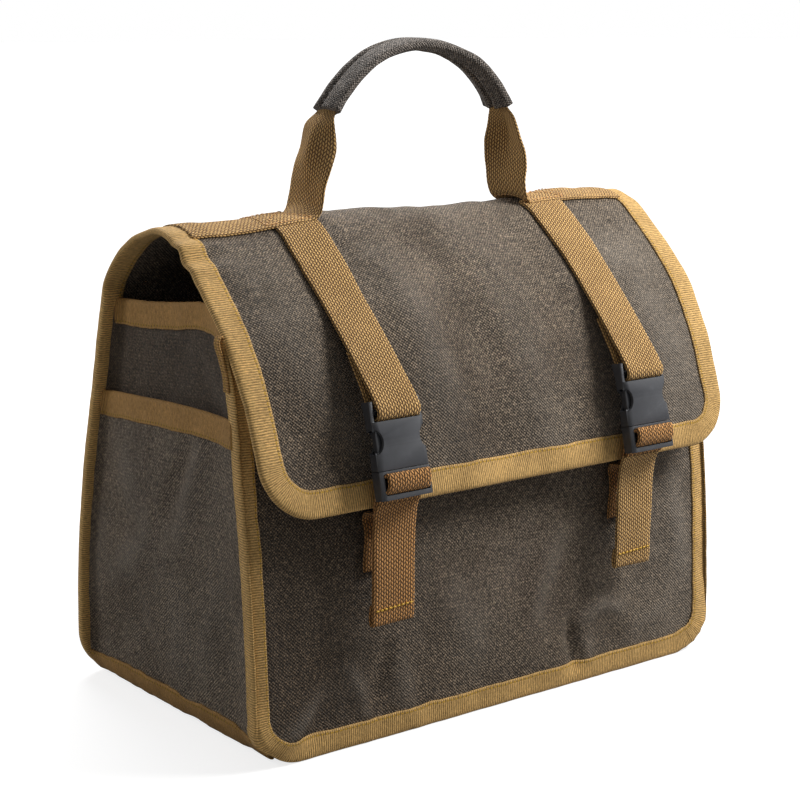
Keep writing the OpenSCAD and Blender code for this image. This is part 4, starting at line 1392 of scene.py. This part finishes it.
class BAG_OT_handle(bpy.types.Operator):
    """Makes the ridge webbing that turns up into the handle, and the sleeve on its grip"""

    bl_idname = "bag.handle"
    bl_label = "Handle and ridge webbing"

    def execute(self, context):
        width, _, thick = webbing_mm()
        for side, name in SIDES:
            riser = (
                ((-90.5, 1.7), (-85.6, 4.4), (-83.6, 9), (-83.2, 22), (-84.4, 35), (-84.6, 47))
                if side < 0 else
                ((-94.5, 1.7), (-89.6, 4.4), (-87.8, 9), (-88.4, 22), (-89.4, 35), (-87.6, 47))
            )
            path = Line([
                (-180, 1.3), (-150, 1.3), (-104, 1.3), *riser, (-82.4, 56), (-77.0, 63.4),
                (-70, 72.0), (-63.5, 78.8),
            ])
            upright = path.when(1, 6)
            top = path.when(1, 60)

            def place(across, out, t):
                run = t * path.length
                spot, way = path.at(run)
                across = rippled(across, run, width)
                middle = side * -spot.x
                lying = hood_spot(
                    middle, RIDGE_S - across, spot.y + out + side_lift(middle, across)
                )
                # The webbing folds in two along its middle as it rises to the sleeve
                fold = math.radians(52) * ease(upright + 6, top + 2, run)
                fold += math.radians(9) * ease(top - 7, top + 3, run)
                fold += math.radians(12) * hill(run, upright + 26, 30) * (1 if across > 0 else -0.3)
                soft = math.sqrt(across**2 + 6) - math.sqrt(6)
                soft *= 1 - 0.82 * ease(top - 26, top + 1, run)
                reach = math.cos(fold) * across
                dent = math.sin(fold) * soft
                way_out = math.tanh(across / 2.5) * math.sin(fold)
                x = spot.x + dent - way.y * out * math.cos(fold)
                z = RIDGE_Z + spot.y + way.x * out * math.cos(fold)
                y = reach + way_out * out
                belly = 1.4 * math.sin(run / 17) * ease(upright, upright + 20, run)
                # It also turns a little about its own length
                turn = math.radians(16 if side < 0 else 5) * ease(upright, upright + 34, run)
                turn *= ease(top + 14, top - 14, run)
                off = side * (spot.x - x)
                risen = leaned(
                    middle + off * math.cos(turn) - y * math.sin(turn),
                    off * math.sin(turn) + y * math.cos(turn) + belly * 0.6 * side, z,
                )
                return lying.lerp(risen, ease(upright - 9, upright + 9, run))

            piece = swept(
                f"handle_webbing_{name}", finish("webbing"), strap_section(width, thick, 18),
                round(path.length / 1.1), place, path.length,
            )
            span = ("lid", "handle", (0, 0.0054, 0.3300), (0, 0.0054, 0.3600))
            nodes = [f"top_webbing_{name}"] + (["handle_webbing"] if side < 0 else [])
            dressed(piece, span, "webbing", *nodes)
            self.sew_ridge(side, name, width)

        self.sleeve()
        return {"FINISHED"}

    def sew_ridge(self, side, name, width):
        """The square with its diagonals that holds the end of the ridge webbing."""
        low, high, half = 90.5, 125.5, width / 2 - 3.2
        corners = [(low, -half), (high, -half), (high, half), (low, half)]
        square = [Vector((*corners[i % 4], 0)) for i in range(5)]
        cross = [[square[0], square[2]], [square[1], square[3]]]

        def lay(spot):
            out = 2.5 + side_lift(side * spot.x, spot.y)
            return hood_spot(side * spot.x, RIDGE_S - spot.y, out) * 1000

        piece = stitches(
            f"ridge_stitching_{name}", finish("tan_thread"), [square, *cross], 3.3, 2.7, 0.36, lay
        )
        dressed(piece, "lid", "thread", f"webbing_stitch_{name}")

    def sleeve(self):
        """The canvas sleeve: a flat tube with a sewn groove outside and two lips inside."""
        def swell(a, *swells):
            return sum(high * math.exp(-(((a - at) / wide) ** 2)) for high, at, wide in swells)

        outer, inner = [], []
        for i in range(33):
            a = 13.6 - 27.2 * i / 32
            crown = math.sqrt(max(1 - (a / 13.7) ** 2, 0.0))
            groove = swell(a, (2.4, 3.2, 1.7), (-0.7, 7.4, 2))
            slit = swell(a, (3.6, -0.4, 1.2), (-1.2, -4.2, 2.4), (-0.9, 4.0, 2.2))
            outer.append((a, 4.8 * crown**0.75 - groove))
            inner.append((-a, -4.4 * crown**0.7 + slit))
        section = outer + inner[1:-1]
        length = 2 * GRIP_TURN * GRIP_RADIUS

        def place(across, out, t):
            turn = (t - 0.5) * 2 * GRIP_TURN
            pinch = 1 - 0.12 * hill(t, 0.52, 0.25) + 0.06 * waves(t * 100, 0, 9, 14.4)
            puff = 1 - 0.16 * hill(t, 0.55, 0.3) + 0.10 * waves(t * 100, across, 8, 31.2)
            end = 1 + 0.05 * (hill(t, 0, 0.05) + hill(t, 1, 0.05))
            radius = GRIP_RADIUS - 5.4 + out * puff * end + 0.5 * waves(t * 100, 0, 14, 3.3)
            across = across * pinch * end + 0.7 * waves(t * 100, 0, 22, 6.2)
            return leaned(
                math.sin(turn) * radius, across, GRIP_CENTRE + math.cos(turn) * radius
            )

        piece = swept("grip_sleeve_canvas", finish("grip"), section, 130, place, length)
        dressed(piece, "handle", "canvas", "handle_sleeve")
        ends = ((2, 20), (length - 20, length - 2))
        rows = [[Vector((run, 3.2, 3.2)) for run in end] for end in ends]
        piece = stitches(
            "grip_sleeve_stitching", finish("dark_thread"), rows, 5.2, 3.6, 0.7,
            lambda spot: place(spot.y, spot.z, spot.x / length) * 1000,
        )
        dressed(piece, "handle", "thread")


def side_lift(x, across):
    """How far the ridge webbing rises where it lies on the front strap's end, in mm."""
    on = hill(abs(x), STRAP_X, 24) ** 0.5
    return 0.9 * on * ease(2, -8, across)


# Buckles


class BAG_OT_buckles(bpy.types.Operator):
    """Rounds the moulded edges of the sockets, the clips and their arms"""

    bl_idname = "bag.buckles"
    bl_label = "Buckles"

    def execute(self, context):
        for side, name in SIDES:
            x = side * STRAP_X
            self.moulded(f"buckle_socket_{name}", f"socket_{name}_moulded", "lid", 1.0, x)
            self.moulded(f"buckle_clip_{name}", f"clip_{name}_moulded", f"clip_{name}", 1.0)
            for _, hand in SIDES:
                arm = f"{name}_arm_{hand}"
                self.moulded(f"{name}_clip_arm_{hand}", f"{arm}_moulded", arm, 0.6)
        return {"FINISHED"}

    def moulded(self, node_name, name, body, share, horns=None):
        """A CAD piece with rounded edges. horns is the middle of a socket, whose horns curve."""
        bm = bmesh.new()
        bm.from_mesh(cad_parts[node_name].data)
        bmesh.ops.remove_doubles(bm, verts=bm.verts, dist=2e-6)
        bmesh.ops.dissolve_limit(
            bm, angle_limit=math.radians(2), verts=bm.verts, edges=bm.edges
        )
        bmesh.ops.recalc_face_normals(bm, faces=bm.faces)
        if horns is not None:
            self.curve_horns(bm, horns)
        piece = mesh_piece(name, bm, finish("plastic"))
        bevel = piece.modifiers.new("moulded_edges", "BEVEL")
        bevel.width = bpy.context.scene.bag_plastic.softness * share
        bevel.segments = 3
        bevel.limit_method = "ANGLE"
        bevel.angle_limit = math.radians(32)
        bevel.miter_outer = "MITER_ARC"
        bevel.harden_normals = True
        dressed(piece, body, "plastic", node_name)

    def curve_horns(self, bm, middle):
        """Sweeps a socket's horns back and out, and opens its grip notches a little wider."""
        base = at_buckle(0, 0)
        lean = Vector((math.sin(LEAN), math.cos(LEAN)))
        notch_x, notch_drop, notch_radius = 22.25, 12.0, 7.0
        for vert in bm.verts:
            x = vert.co.x * 1000 - middle
            spot = Vector((vert.co.y * 1000 - SHIFT, vert.co.z * 1000)) - base
            drop = -spot.dot(lean)
            depth = -spot.dot(Vector((lean.y, -lean.x)))
            # The horns are outside the strap and above the socket's top
            if abs(x) > 16 and drop < -0.5:
                t = min(-drop / 12.4, 1.0)
                x -= math.copysign(0.4 * t, x)
                depth += 2.4 * t * ease(4, 6, depth) - 2.8 * t * t
            apart = Vector((abs(x) - notch_x, drop - notch_drop))
            if abs(apart.length - notch_radius) < 0.4 and abs(x) < 19.2:
                apart *= 1.22
                x = math.copysign(notch_x + apart.x, x)
                drop = notch_drop + apart.y
            place = at_buckle(depth, drop)
            vert.co = Vector((middle + x, place.x + SHIFT, place.y)) / 1000


# Stage


class BAG_OT_stage(bpy.types.Operator):
    """Sets the pale floor, the soft studio light and the camera"""

    bl_idname = "bag.stage"
    bl_label = "Stage"

    def execute(self, context):
        scene = context.scene
        values = scene.bag_stage
        bm = bmesh.new()
        bmesh.ops.create_grid(bm, x_segments=1, y_segments=1, size=30)
        floor = mesh_piece("floor", bm, self.paper())
        world = bpy.data.worlds.new("studio")
        scene.world = world
        world.use_nodes = True
        world.node_tree.nodes.clear()
        add = partial(node, world.node_tree)
        # White to the camera, to a gloss and through a clear thing, and dim to what it lights
        rays = add("LightPath").outputs
        seen = add("Math", [rays["Is Camera Ray"], rays["Is Glossy Ray"]], "MAXIMUM")
        seen = add("Math", [seen, rays["Is Transmission Ray"]], "MAXIMUM")
        lit, white = (
            add("Background", {"Color": (1, 1, 1, 1), "Strength": strength})
            for strength in (values.sky, 1.0)
        )
        add("OutputWorld", {"Surface": add("MixShader", [seen, lit, white])})
        # Each light's name, place, aim, size and power
        for name, place, aim, size, power in (
            ("key", (0.62, -0.5, 0.85), (0, 0, 0.18), 0.45, values.key),
            ("top", (0.2, 0.95, 1.6), (0, 0, 0.3), 0.9, values.top),
            ("side", (-1.0, 0.95, 0.75), (-0.19, 0, 0.15), 0.35, values.side),
        ):
            light = bpy.data.lights.new(name, "AREA")
            light.shape = "DISK"
            light.size = size
            light.energy = power
            lamp = bpy.data.objects.new(name, light)
            lamp.location = place
            lamp.rotation_euler = (Vector(aim) - Vector(place)).to_track_quat("-Z", "Y").to_euler()
            scene.collection.objects.link(lamp)
        # The camera that was fitted to the photograph
        camera = bpy.data.cameras.new("camera")
        camera.lens = 84.463
        camera.sensor_width = 36
        eye = bpy.data.objects.new("camera", camera)
        eye.location = (-0.7796, -0.98977, 0.4471)
        eye.rotation_euler = Vector((-0.6009, -0.7741, 0.1994)).to_track_quat("Z", "Y").to_euler()
        scene.collection.objects.link(eye)
        scene.camera = eye
        scene.view_settings.view_transform = "Standard"
        return {"FINISHED"}

    def paper(self):
        """White paper sweep: matt, and bright enough in view to meet the white backdrop."""
        material, add = new_finish("white_paper")
        spot = add("TexCoord").outputs["Object"]
        far = add("VectorMath", [spot], "LENGTH").outputs["Value"]
        camera = add("LightPath").outputs["Is Camera Ray"]
        glow = add("MapRange", [far, 0.3, 0.75, 0.78, 1.1])
        shader = add("BsdfPrincipled", {
            "Base Color": (0.4, 0.4, 0.4, 1), "Roughness": 0.9, "Specular IOR Level": 0.1,
            "Emission Color": (1, 1, 1, 1),
            "Emission Strength": add("Math", [camera, glow], "MULTIPLY"),
        })
        add("OutputMaterial", {"Surface": shader})
        return material


# The sidebar panel, and the run

SETTINGS = {
    "bag_cloth": ClothSettings,
    "bag_tape": TapeSettings,
    "bag_webbing": WebbingSettings,
    "bag_plastic": PlasticSettings,
    "bag_stage": StageSettings,
}
OPERATORS = (
    BAG_OT_body, BAG_OT_hood, BAG_OT_pockets, BAG_OT_tapes, BAG_OT_front_straps,
    BAG_OT_clip_straps, BAG_OT_handle, BAG_OT_buckles, BAG_OT_stage,
)


class BAG_PT_panel(bpy.types.Panel):
    """Lists what the tool bag is made of"""

    bl_idname = "BAG_PT_panel"
    bl_label = "Tool Bag"
    bl_space_type = "VIEW_3D"
    bl_region_type = "UI"
    bl_category = "Tool Bag"

    def draw(self, context):
        for name, group in SETTINGS.items():
            box = self.layout.box()
            for key in group.__annotations__:
                box.prop(getattr(context.scene, name), key)
        for operator in OPERATORS:
            self.layout.operator(operator.bl_idname)


def register():
    for kind in (*SETTINGS.values(), *OPERATORS, BAG_PT_panel):
        bpy.utils.register_class(kind)
    for name, group in SETTINGS.items():
        setattr(bpy.types.Scene, name, PointerProperty(type=group))


def unregister():
    for name in SETTINGS:
        delattr(bpy.types.Scene, name)
    for kind in reversed((*SETTINGS.values(), *OPERATORS, BAG_PT_panel)):
        bpy.utils.unregister_class(kind)


def main():
    register()
    bpy.ops.bag.body()
    bpy.ops.bag.hood()
    bpy.ops.bag.pockets()
    bpy.ops.bag.tapes()
    bpy.ops.bag.front_straps()
    bpy.ops.bag.clip_straps()
    bpy.ops.bag.handle()
    bpy.ops.bag.buckles()
    bpy.ops.bag.stage()


if __name__ == "__main__":
    main()
